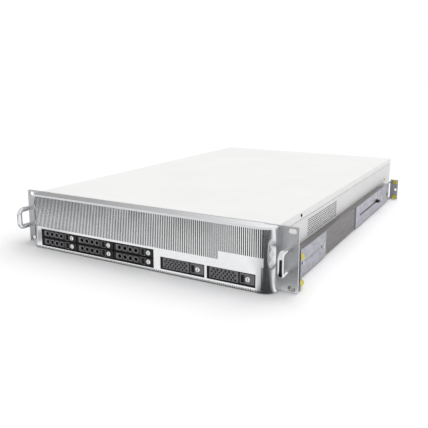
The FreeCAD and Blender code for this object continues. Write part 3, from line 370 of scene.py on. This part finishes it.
def box_loop(left, right, low, high, corner=0.3):
    """Corners of a rectangle whose corners are rounded in short steps."""
    steps = 4
    centres = [(right - corner, high - corner), (left + corner, high - corner),
               (left + corner, low + corner), (right - corner, low + corner)]
    points = []
    for quarter, (x, y) in enumerate(centres):
        for step in range(steps + 1):
            turn = (quarter + step / steps) * QUARTER
            points.append((x + corner * math.cos(turn), y + corner * math.sin(turn)))
    return points


def welded(mesh):
    """Joins the doubled corners of a mesh and turns its faces outward."""
    shape = bmesh.new()
    shape.from_mesh(mesh)
    bmesh.ops.remove_doubles(shape, verts=shape.verts, dist=1e-4)
    bmesh.ops.recalc_face_normals(shape, faces=shape.faces)
    shape.to_mesh(mesh)
    shape.free()
    return mesh


def meshed(curve):
    """The mesh of a curve, which is then removed."""
    carrier = bpy.data.objects.new("form", curve)
    mesh = bpy.data.meshes.new_from_object(carrier)
    bpy.data.objects.remove(carrier)
    bpy.data.curves.remove(curve)
    return welded(mesh)


def plate(loops, thick, edge=0.1):
    """A flat plate with broken edges, from its outlines and the outlines of its openings."""
    curve = bpy.data.curves.new("plate", "CURVE")
    curve.dimensions = "2D"
    curve.fill_mode = "BOTH"
    for loop in loops:
        line = curve.splines.new("POLY")
        line.points.add(len(loop) - 1)
        line.use_cyclic_u = True
        for point, (x, y) in zip(line.points, loop):
            point.co = (x, y, 0, 1)
    curve.extrude = thick / 2 - edge
    curve.bevel_depth = edge
    curve.bevel_resolution = 1
    curve.offset = -edge
    mesh = meshed(curve)
    mesh.transform(Matrix.Translation((0, 0, thick / 2)))
    return mesh


def turned(profile, sides=32):
    """A turned form round the local z axis, through points of radius and height."""
    shape = bmesh.new()
    rings = []
    for radius, height in profile:
        rings.append([shape.verts.new((x, y, height)) for x, y in round_loop(sides, radius)])
    for low, high in zip(rings, rings[1:]):
        for step in range(sides):
            after = (step + 1) % sides
            shape.faces.new((low[step], low[after], high[after], high[step]))
    shape.faces.new(rings[0][::-1])
    shape.faces.new(rings[-1])
    mesh = bpy.data.meshes.new("turned")
    shape.to_mesh(mesh)
    shape.free()
    return mesh


def bent_bar(radius, foot, reach, half, bend):
    """A round bar bent into a grip: two legs, two bends and the length that is held."""
    curve = bpy.data.curves.new("bar", "CURVE")
    curve.dimensions = "3D"
    curve.bevel_depth = radius
    curve.bevel_resolution = 8
    curve.use_fill_caps = True
    outward, upward = Vector((0, 0, 1)), Vector((0, 1, 0))
    stops = [(-half, foot, outward), (-half, reach - bend, outward), (bend - half, reach, upward),
             (half - bend, reach, upward), (half, reach - bend, -outward), (half, foot, -outward)]
    line = curve.splines.new("BEZIER")
    line.bezier_points.add(len(stops) - 1)
    line.resolution_u = 12
    # Handle length that draws a quarter circle
    pull = 0.5523 * bend
    for point, (along, out, heading) in zip(line.bezier_points, stops):
        point.co = (0, along, out)
        point.handle_left = point.co - pull * heading
        point.handle_right = point.co + pull * heading
    return meshed(curve)


def in_mm(node_name):
    """Lowest and highest corner of a node in millimetres."""
    return [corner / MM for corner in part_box(node_name)]


# Pull handles, smooth and bright
BAR_RADIUS, BAR_HALF_LONG, BAR_BEND = 4.0, 14.0, 7.0
for side in ("left", "right"):
    low, high = in_mm("handle_" + side)
    bar = bent_bar(BAR_RADIUS, foot=-high.y, reach=-low.y - BAR_RADIUS, half=BAR_HALF_LONG, bend=BAR_BEND)
    grip = set_piece("handle_bar_" + side, bar, "front", ((low.x + high.x) / 2, 0, (low.z + high.z) / 2),
                     CHROME, "server")
    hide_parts("handle_" + side)

# Key locks: a rounded barrel, its core with a zigzag keyway, and behind it a dark disc, painted shade seen
# through the keyway
BARREL = [(3.7, -9.0), (3.7, -0.75), (3.6, -0.4), (3.35, -0.1), (3.1, 0), (2.85, 0), (2.75, -0.1),
          (2.75, -1.3)]
KEYWAY = [(0.1, 2.1), (-1.4, 0.8), (0.2, -0.8), (-1.2, -2.1), (-0.1, -2.1), (1.4, -0.8), (-0.2, 0.8),
          (1.2, 2.1)]
SHADE_DISC = [(2.7, -0.4), (2.7, -0.05), (2.6, 0)]
CORE_RADIUS, CORE_SIDES, CORE_THICK, CORE_EDGE = 2.65, 28, 1.0, 0.06
CORE_SUNK, SHADE_DISC_SUNK = 1.2, 1.25
for number in TRAYS:
    low, high = in_mm("tray_lock_%d" % number)
    x, z = (low.x + high.x) / 2, (low.z + high.z) / 2
    body = "lock_%d" % number
    barrel = set_piece("lock_barrel_%d" % number, turned(BARREL), "front", (x, low.y, z),
                       LOCK, body)
    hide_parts("tray_lock_%d" % number)
    core = plate([round_loop(CORE_SIDES, CORE_RADIUS), KEYWAY], CORE_THICK, CORE_EDGE)
    set_piece("lock_core_%d" % number, core, "front", (x, low.y + CORE_SUNK, z),
              LOCK, body)
    set_piece("lock_well_%d" % number, turned(SHADE_DISC), "front", (x, low.y + SHADE_DISC_SUNK, z),
              TRAY, body)

# Low levers: a charcoal plate with hexagon openings, under a grey tab and a chain of raised rims
LEVER_LEFT, LEVER_RIGHT, LEVER_MIDDLE, LEVER_HALF_HIGH, LEVER_THICK = 2.5, 49.4, 5.9, 4.8, 2.6
HEX_COUNT, HEX_START, HEX_PITCH, HEX_OPEN, HEX_RIM = 4, 10.3, 10.05, 3.3, 4.95
TAB_START, TAB_SLOPE, TAB_HALF_HIGH, NECK_HALF_HIGH, TIP_HALF_HIGH = 3.4, 1.4, 2.4, 0.45, 0.2
RIM_THICK, EDGE_HIGHLIGHT_THICK = 0.35, 0.3
rim_top = HEX_RIM * math.sin(math.radians(60))
hex_centres = [HEX_START + HEX_PITCH * step for step in range(HEX_COUNT)]
upper_edge = [(TAB_START, TAB_HALF_HIGH), (TAB_START + TAB_SLOPE, rim_top)]
for centre in hex_centres:
    upper_edge += [(centre - HEX_RIM / 2, rim_top), (centre + HEX_RIM / 2, rim_top),
                   (centre + HEX_PITCH / 2, NECK_HALF_HIGH)]
upper_edge[-1] = (hex_centres[-1] + HEX_RIM, TIP_HALF_HIGH)
lower_edge = [(x, -rise) for x, rise in reversed(upper_edge)]
HEXAGONS = [round_loop(sides=6, radius=HEX_OPEN, x=centre, y=LEVER_MIDDLE) for centre in hex_centres]
RIM_LOOPS = [[(x, LEVER_MIDDLE + rise) for x, rise in upper_edge + lower_edge], *HEXAGONS]
LEVER_LOOPS = [box_loop(left=LEVER_LEFT, right=LEVER_RIGHT, low=LEVER_MIDDLE - LEVER_HALF_HIGH,
                        high=LEVER_MIDDLE + LEVER_HALF_HIGH), *HEXAGONS]
# Grey frame ring round each low tray's button: a painted highlight on the lit edges of its dark panel
BUTTON_EDGE_HIGHLIGHT = [box_loop(left=49.8, right=57.7, low=0.7, high=11.1, corner=0.5),
                box_loop(left=50.55, right=56.85, low=1.35, high=10.45)]
for number in LOW_TRAYS:
    corner = in_mm("drive_tray_%d" % number)[0]
    lever_face = in_mm("tray_lever_%d" % number)[0].y
    body = "lever_%d" % number
    lever = set_piece("lever_plate_%d" % number, plate(LEVER_LOOPS, LEVER_THICK), "front",
                      (corner.x, lever_face + LEVER_THICK, corner.z), CHARCOAL, body)
    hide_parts("tray_lever_%d" % number)
    set_piece("lever_rims_%d" % number, plate(RIM_LOOPS, RIM_THICK), "front",
              (corner.x, lever_face, corner.z), LEVER, body)
    # Grey ring round the button, painted highlight of the panel's lit edges
    set_piece("button_edge_highlight_%d" % number, plate(BUTTON_EDGE_HIGHLIGHT, EDGE_HIGHLIGHT_THICK), "front", corner,
              LEVER, "tray_%d" % number)

# Tall trays: a grey lever with a mesh of diamonds, and a latch panel round the button and the lock
TALL_MIDDLE, LATCH_THICK = 8.6, 0.5
LATCH_LOOPS = [box_loop(left=49.0, right=70.0, low=2.2, high=16.3, corner=0.8),
               box_loop(left=50.2, right=55.8, low=3.4, high=13.8, corner=0.4),
               round_loop(sides=32, radius=3.95, x=60.3, y=TALL_MIDDLE)]
GRILLE_LOOPS = [box_loop(left=LEVER_LEFT, right=46.2, low=1.1, high=16.1, corner=0.8)]
DIAMOND_ROWS, DIAMOND_COLUMNS, DIAMOND_RADIUS = 4, 7, 1.95
DIAMOND_START, DIAMOND_PITCH, DIAMOND_RISE = 6.3, 5.9, 3.3
for row in range(DIAMOND_ROWS):
    shifted = row % 2
    level = TALL_MIDDLE + DIAMOND_RISE * (row - (DIAMOND_ROWS - 1) / 2)
    for column in range(DIAMOND_COLUMNS - shifted):
        across = DIAMOND_START + DIAMOND_PITCH * (column + 0.5 * shifted)
        GRILLE_LOOPS.append(round_loop(sides=4, radius=DIAMOND_RADIUS, x=across, y=level))
for number in TALL_TRAYS:
    corner = in_mm("drive_tray_%d" % number)[0]
    lever_face = in_mm("tray_lever_%d" % number)[0].y
    grille = set_piece("lever_grille_%d" % number, plate(GRILLE_LOOPS, LEVER_THICK), "front",
                       (corner.x, lever_face + LEVER_THICK, corner.z),
                       LEVER, "lever_%d" % number)
    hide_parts("tray_lever_%d" % number)
    set_piece("latch_panel_%d" % number, plate(LATCH_LOOPS, LATCH_THICK), "front", corner,
              LEVER, "tray_%d" % number)

# Bare plate at the right end of the fins, let a little into the bezel's face
BEZEL_FACE, PLATE_SUNK, PLATE_THICK, PLATE_EDGE = -24.0, 0.1, 0.3, 0.12
PLATE_LOOP = box_loop(left=136.2, right=202.6, low=-8.6, high=3.6, corner=0.5)
set_piece("badge_place", plate([PLATE_LOOP], PLATE_THICK, PLATE_EDGE), "front",
          (0, BEZEL_FACE + PLATE_SUNK, 0), SILVER, "server")

# Lower edge of the bezel: a comb of teeth before a dark strip, painted shade seen in the gaps between the
# teeth
TOOTH_LOW, TOOTH_ROOT, COMB_TOP, COMB_END = -42.4, -40.3, -40.12, 202.0
TEETH, TOOTH_PITCH, TOOTH_WIDE = 122, 3.3, 1.75
COMB_BACK, COMB_THICK, COMB_EDGE, SHADE_STRIP_BACK, SHADE_STRIP_THICK = -23.0, 0.9, 0.08, -20.5, 2.4
comb = [(COMB_END, COMB_TOP), (-COMB_END, COMB_TOP), (-COMB_END, TOOTH_ROOT)]
for tooth in range(TEETH):
    left = (tooth - (TEETH - 1) / 2) * TOOTH_PITCH - TOOTH_WIDE / 2
    right = left + TOOTH_WIDE
    comb += [(left, TOOTH_ROOT), (left, TOOTH_LOW), (right, TOOTH_LOW), (right, TOOTH_ROOT)]
comb.append((COMB_END, TOOTH_ROOT))
shade_strip = box_loop(left=-COMB_END, right=COMB_END, low=TOOTH_LOW, high=COMB_TOP, corner=0.6)
set_piece("bezel_comb", plate([comb], COMB_THICK, COMB_EDGE), "front", (0, COMB_BACK, 0),
          SILVER, "server")
set_piece("bezel_shade_strip", plate([shade_strip], SHADE_STRIP_THICK), "front", (0, SHADE_STRIP_BACK, 0),
          TRAY, "server")


# Screws and nuts
def pan_head(radius, rise):
    """A pan head with a rounded crown and a driving recess."""
    return turned([(radius, 0), (radius, 0.5 * rise), (0.88 * radius, 0.85 * rise), (0.62 * radius, rise),
                   (0.46 * radius, rise), (0.4 * radius, 0.4 * rise)], sides=24)


def hex_nut(radius, rise):
    """A six-sided nut with a bored middle."""
    return turned([(radius, 0), (radius, 0.9 * rise), (0.9 * radius, rise), (0.55 * radius, rise),
                   (0.52 * radius, 0.5 * rise)], sides=6)


COVER_FACE, WALL_FACE, BRACKET_FACE = 214.0, 213.0, 226.0
RAIL_MIDDLE, WING_ALONG, WING_RISE, WING_THICK, WING_EDGE = -21.6, 493.5, 2, 4.2, 0.5
NUT_ACROSS, FLANGE_FACE, NUT_LEVELS, NUT_RADIUS, NUT_RISE = 234.5, 632.5, (-4.2, -38.4), 5.0, 4.0
for sign, side in HANDED:
    rail, reach = "rail_" + side, "rail_rear_" + side
    for name, face, along, level, radius, rise, finish, body, slot in (
            ("cover_screw", COVER_FACE, 78, 38.8, 2.4, 1.0, SCREW, "server", "rail_dark"),
            ("wall_screw", WALL_FACE, 622, 2.7, 2.6, 1.2, ZINC, "server", "pin_yellow_zinc"),
            ("front_bracket_screw_1", BRACKET_FACE, 58, -23, 3.0, 1.2, BRIGHT, rail, "bracket_zinc"),
            ("front_bracket_screw_2", BRACKET_FACE, 148, -23.6, 3.0, 1.2, BRIGHT, rail, "bracket_zinc"),
            ("rear_bracket_screw_1", BRACKET_FACE, 528, RAIL_MIDDLE, 3.0, 1.2, BRIGHT, reach, "bracket_zinc"),
            ("rear_bracket_screw_2", BRACKET_FACE, 589, -25, 2.2, 1.0, SCREW, reach, "rail_dark"),
            ("wing_screw_collar", BRACKET_FACE, WING_ALONG, RAIL_MIDDLE, 4.2, 2.4, SCREW, rail, "rail_dark")):
        set_piece("%s_%s" % (name, side), pan_head(radius, rise), side, (sign * face, along, level),
                  finish, body)
    wings = box_loop(left=-6.8, right=6.8, low=-1.9, high=1.9, corner=1.8)
    set_piece("wing_screw_grip_" + side, plate([wings], WING_THICK, WING_EDGE), side,
              (sign * (BRACKET_FACE + WING_RISE), WING_ALONG, RAIL_MIDDLE), SCREW, rail)
    for number, level in enumerate(NUT_LEVELS, 1):
        set_piece("flange_nut_%d_%s" % (number, side), hex_nut(NUT_RADIUS, NUT_RISE), "front",
                  (sign * NUT_ACROSS, FLANGE_FACE, level), ZINC, reach)


def along_side(sign, front, rear):
    """Left and right end of a stretch of a side wall, for a form that faces outward there."""
    return sorted((sign * front, sign * rear))


# Dark strips under the cover's flanges, painted shade of the hem, seen as a fine line along the side walls
HEM_SHADE_FRONT, HEM_SHADE_REAR, HEM_SHADE_LOW, HEM_SHADE_HIGH, HEM_SHADE_THICK = 1.0, 674.0, 32.6, 33.0, 0.8
for sign, side in HANDED:
    hem_shade = box_loop(*along_side(sign, HEM_SHADE_FRONT, HEM_SHADE_REAR), HEM_SHADE_LOW, HEM_SHADE_HIGH, corner=0.2)
    set_piece("cover_hem_shade_" + side, plate([hem_shade], HEM_SHADE_THICK), side, (sign * WALL_FACE, 0, 0),
              FAN, "server")

# Side vents: staggered bridges that divide the long slots into short ones, before dark sheets that paint the
# shade inside the slots
VENT_FRONT, VENT_REAR, VENT_BASE, VENT_PITCH, VENT_HIGH, VENT_ROWS = 109.0, 250.4, 0.6, 3.3, 1.8, 8
BRIDGE_PITCH, BRIDGE_WIDE, BRIDGE_BACK, BRIDGE_THICK = 7.0, 1.4, 212.5, 0.3
SHADE_SHEET_BACK, SHADE_SHEET_THICK, SHADE_SHEET_END_GAP, SHADE_SHEET_GAP, VENT_EDGE = 212.0, 0.5, 0.1, 0.05, 0.05
for sign, side in HANDED:
    bridges, shade_sheets = [], []
    for row in range(VENT_ROWS):
        low = VENT_BASE + VENT_PITCH * row
        high = low + VENT_HIGH
        ends = along_side(sign, VENT_FRONT + SHADE_SHEET_END_GAP, VENT_REAR - SHADE_SHEET_END_GAP)
        shade_sheets.append(box_loop(*ends, low + SHADE_SHEET_GAP, high - SHADE_SHEET_GAP, corner=0.1))
        start = VENT_FRONT + BRIDGE_PITCH * (0.5 + 0.5 * (row % 2))
        for step in range(int((VENT_REAR - start) / BRIDGE_PITCH)):
            front = start + BRIDGE_PITCH * step
            left, right = along_side(sign, front, front + BRIDGE_WIDE)
            bridges.append([(left, low), (right, low), (right, high), (left, high)])
    set_piece("vent_bridges_" + side, plate(bridges, BRIDGE_THICK, VENT_EDGE), side,
              (sign * BRIDGE_BACK, 0, 0), SIDES, "server")
    set_piece("vent_shade_sheets_" + side, plate(shade_sheets, SHADE_SHEET_THICK, VENT_EDGE), side,
              (sign * SHADE_SHEET_BACK, 0, 0), FAN, "server")


def inside(left, right, low, high, gap):
    """The rounded rectangle that leaves a gap all round inside another one."""
    return box_loop(left + gap, right - gap, low + gap, high - gap)


# Rear panel: port shield with its sockets, each with a liner, a tongue and a floor.
# Seen from the rear, x runs the other way.
REAR_FACE, PORT_FLOOR, SHIELD_THICK = 675.0, 665.0, 0.5
LINER_RISE, LINER_THICK, LINER_GAP, LINER_WALL, TONGUE_HALF_HIGH = 0.6, 8.8, 0.1, 0.9, 1.2
FLOOR_RISE, FLOOR_THICK = 0.1, 0.5
shield = [box_loop(left=-199.7, right=-60.3, low=-33.4, high=2.0, corner=0.6)]
liners, floors = [], []
for count, first, pitch, half, low, high, tongue in (
        (5, -80.0, -25.0, 7.5, -29.7, -17.7, 3.4),
        (3, -85.0, -45.0, 18.0, -12.7, -3.7, 14.0)):
    middle = (low + high) / 2
    for step in range(count):
        centre = first + pitch * step
        opening = (centre - half, centre + half, low, high)
        shield.append(box_loop(*opening))
        floors.append(inside(*opening, LINER_GAP))
        liners += [inside(*opening, LINER_GAP), inside(*opening, LINER_WALL),
                   box_loop(centre - tongue, centre + tongue,
                            middle - TONGUE_HALF_HIGH, middle + TONGUE_HALF_HIGH)]
for name, loops, thick, back, finish, slot in (
        ("port_shield", shield, SHIELD_THICK, REAR_FACE, CAGE, "cage_steel"),
        ("port_liners", liners, LINER_THICK, PORT_FLOOR + LINER_RISE, TRAY, "tray_black"),
        ("port_floors", floors, FLOOR_THICK, PORT_FLOOR + FLOOR_RISE, TRAY, "tray_black")):
    set_piece(name, plate(loops, thick), "rear", (0, back, 0), finish, "server")

# Power inlet, also as seen from the rear: a liner, its floor and three blades
INLET_X, INLET_Z, INLET_FLOOR = 166.0, -19.8, 659.0
INLET_HALF_WIDE, INLET_HALF_HIGH, INLET_WALL = 13.4, 9.9, 0.8
BLADE_PLACES, BLADE_HALF_WIDE, BLADE_HALF_HIGH = ((-7, -1.5), (0, 2.5), (7, -1.5)), 1, 2
inlet = []
for inset, corner in ((0, 2.0), (INLET_WALL, 1.6)):
    half_wide, half_high = INLET_HALF_WIDE - inset, INLET_HALF_HIGH - inset
    inlet.append(box_loop(INLET_X - half_wide, INLET_X + half_wide,
                          INLET_Z - half_high, INLET_Z + half_high, corner))
blades = []
for across, rise in BLADE_PLACES:
    x, z = INLET_X + across, INLET_Z + rise
    blades.append(box_loop(x - BLADE_HALF_WIDE, x + BLADE_HALF_WIDE,
                           z - BLADE_HALF_HIGH, z + BLADE_HALF_HIGH))
for name, loops, thick, lift, finish, slot in (
        ("inlet_liner", inlet, 15.4, 0.5, TRAY, "tray_black"),
        ("inlet_floor", inlet[:1], 0.4, 0.1, TRAY, "tray_black"),
        ("inlet_blades", blades, 12.0, 0.5, BRIGHT, "bracket_zinc")):
    set_piece(name, plate(loops, thick), "rear", (0, INLET_FLOOR + lift, 0), finish, "server")


# Floor, light and camera, in metres
def set_in_scene(name, data):
    """An object for a mesh, light or camera, in the scene."""
    item = bpy.data.objects.new(name, data)
    bpy.context.scene.collection.objects.link(item)
    return item


def paper_floor(reach=40.0):
    """A wide sheet under the object."""
    mesh = bpy.data.meshes.new("floor")
    corners = [(-reach, -reach), (reach, -reach), (reach, reach), (-reach, reach)]
    mesh.from_pydata([(x, y, FLOOR_LEVEL) for x, y in corners], [], [(0, 1, 2, 3)])
    floor = set_in_scene("floor", mesh)
    # Matt white paper sweep, clouded so faintly that it looks even
    paper, tree, place = bare("white_paper")
    cloud = add(tree, "TexNoise", {"Vector": place, "Scale": per_mm(400), "Detail": 2.0})
    colour = add(tree, "Mix", {FACTOR: cloud, FIRST: linear("#F8F8F8"), SECOND: linear("#F6F6F6")},
                 data_type="RGBA")
    mesh.materials.append(finished(paper, {"Base Color": colour, "Roughness": 0.9, "IOR": 1.4}))


def studio_light():
    """A white backdrop that lights less than it shows, a wide soft ceiling and a faint panel on the right."""
    lit, mirrored, seen = (0.42, 0.42, 0.43, 1), (0.85, 0.85, 0.86, 1), (1, 1, 1, 1)
    world = bpy.data.worlds.new("studio")
    bpy.context.scene.world = world
    world.use_nodes = True
    tree = world.node_tree
    tree.nodes.clear()
    path = add(tree, "LightPath").outputs
    glossy = add(tree, "Mix", {FACTOR: path["Is Glossy Ray"], FIRST: lit, SECOND: mirrored}, data_type="RGBA")
    tone = add(tree, "Mix", {FACTOR: path["Is Camera Ray"], FIRST: glossy, SECOND: seen}, data_type="RGBA")
    sky = add(tree, "Background", {"Color": tone, "Strength": 1.0})
    add(tree, "OutputWorld", {"Surface": sky})

    sun = bpy.data.lights.new("ceiling", "SUN")
    sun.energy = 2.42
    sun.angle = math.radians(88)
    ceiling = set_in_scene("ceiling", sun)
    ceiling.rotation_euler = (math.radians(-20), math.radians(11), 0)
    ceiling.visible_glossy = False

    softbox = bpy.data.lights.new("right_side", "AREA")
    softbox.shape = "RECTANGLE"
    softbox.size, softbox.size_y = 1.6, 1.6
    softbox.energy = 2
    panel = set_in_scene("right_side", softbox)
    panel.location = (2.2, 0.3, 0.9)
    object_middle = Vector((0, 0.3, 0))
    panel.rotation_euler = (object_middle - panel.location).to_track_quat("-Z", "Y").to_euler()
    bpy.context.scene.view_settings.view_transform = "Standard"


def mirror_card(name, rows):
    """A glowing card that only mirrors see, through rows of places and their tones."""
    wide = len(rows[0])
    points = [point for row in rows for point in row]
    faces = []
    for row in range(len(rows) - 1):
        for step in range(row * wide, (row + 1) * wide - 1):
            faces.append((step, step + 1, step + wide + 1, step + wide))
    mesh = bpy.data.meshes.new(name)
    mesh.from_pydata([(x, y, z) for x, y, z, tone in points], [], faces)
    tint = mesh.color_attributes.new("tint", "FLOAT_COLOR", "POINT")
    for mark, (x, y, z, tone) in zip(tint.data, points):
        mark.color = (tone, tone, tone, 1)
    # Airbrushed light panel, from black to paper white
    panel, tree = bare(name)[:2]
    glow = add(tree, "VertexColor", layer_name="tint")
    mesh.materials.append(finished(panel, {"Base Color": linear("#000000"), "Roughness": 1.0,
                                           "Emission Color": glow, "Emission Strength": 1.0}))
    card = set_in_scene(name, mesh)
    card.visible_camera = False
    card.visible_diffuse = False
    card.visible_shadow = False
    card.visible_transmission = False


def fan_rows(rise, apex, near, far, tones):
    """Rows of a card just above the floor that fans out round an apex: turns to the right and their tones."""
    level = FLOOR_LEVEL + rise * MM
    rows = []
    for turn, tone in tones:
        across, ahead = math.sin(math.radians(turn)), math.cos(math.radians(turn))
        rows.append([(apex[0] + reach * across, apex[1] - reach * ahead, level, tone)
                     for reach in (near, far)])
    return rows


def front_rows(rise, left, right, tones):
    """Rows of a card before the bezel, slanted as it mirrors the view: distances with a tone at each end."""
    slant = math.radians(29.4)
    across, ahead = math.sin(slant), math.cos(slant)
    level = FLOOR_LEVEL + rise * MM
    rows = []
    for reach, *ends in tones:
        rows.append([(x - reach * across, BEZEL_FACE * MM - reach * ahead, level, tone)
                     for x, tone in zip((left, right), ends)])
    return rows


def flag_rows(back, low, high, tones):
    """Rows of an upright card on the lid: places across with their tones, between two heights."""
    return [[(x, back, LID_LEVEL + rise, tone) for x, tone in tones] for rise in (low, high)]


def mirror_cards():
    """Painted reflections for the bezel, as glowing cards that only mirrors see: dark fans at its round ends,
    a bright card on the floor ahead that darkens with distance, a flag on the lid.
    """
    right_end, left_end = (0.199, -0.008), (-0.215, -0.02)
    mirror_card("dark_fan_right", fan_rows(rise=0.7, apex=right_end, near=0.0165, far=0.75, tones=[
        (-34, 1.2), (-27, 1.05), (-23, 0.76), (-19, 0.46), (-14, 0.2), (-8, 0.05), (-1, 0.0),
        (54, 0.0), (64, 0.2), (77, 0.9), (95, 1.4)]))
    mirror_card("dark_fan_left", fan_rows(rise=0.7, apex=left_end, near=0.02, far=0.45, tones=[
        (-55, 0.9), (-66, 0.15), (-75, 0.0), (-115, 0.0), (-125, 0.3)]))
    mirror_card("dark_corner_left", fan_rows(rise=0.55, apex=left_end, near=0.005, far=0.1, tones=[
        (8, 1.06), (-6, 0.8), (-20, 0.45), (-48, 0.2)]))
    mirror_card("bright_front", front_rows(rise=0.4, left=-0.6, right=0.195, tones=[
        (0.002, 1.06, 1.06), (0.16, 1.06, 1.08), (0.22, 0.55, 1.0), (0.28, 0.25, 0.8), (0.6, 0.2, 0.72)]))
    mirror_card("dark_lid_flag", flag_rows(back=0.0015, low=0.0003, high=0.03, tones=[
        (-0.26, 0.34), (-0.1, 0.4), (0.05, 0.58), (0.14, 0.8), (0.216, 1.1)]))


def camera():
    """A camera where the photograph was taken from, with the lens axis above the middle of the picture."""
    azimuth, elevation = math.radians(29.44), math.radians(9.55)
    focal_px, frame_px, axis_row, sensor = 540.3, 428, 170, 36.0
    back = Vector((math.sin(azimuth) * math.cos(elevation), -math.cos(azimuth) * math.cos(elevation),
                   math.sin(elevation)))
    lens = bpy.data.cameras.new("camera")
    lens.sensor_width = sensor
    lens.sensor_fit = "HORIZONTAL"
    lens.lens = focal_px / frame_px * sensor
    lens.shift_y = (axis_row - frame_px / 2) / frame_px
    lens.clip_end = 50
    eye = set_in_scene("camera", lens)
    eye.location = Vector((469.8, -625.1, 227.55)) * MM
    eye.rotation_euler = (-back).to_track_quat("-Z", "Y").to_euler()
    bpy.context.scene.camera = eye


paper_floor()
studio_light()
mirror_cards()
camera()
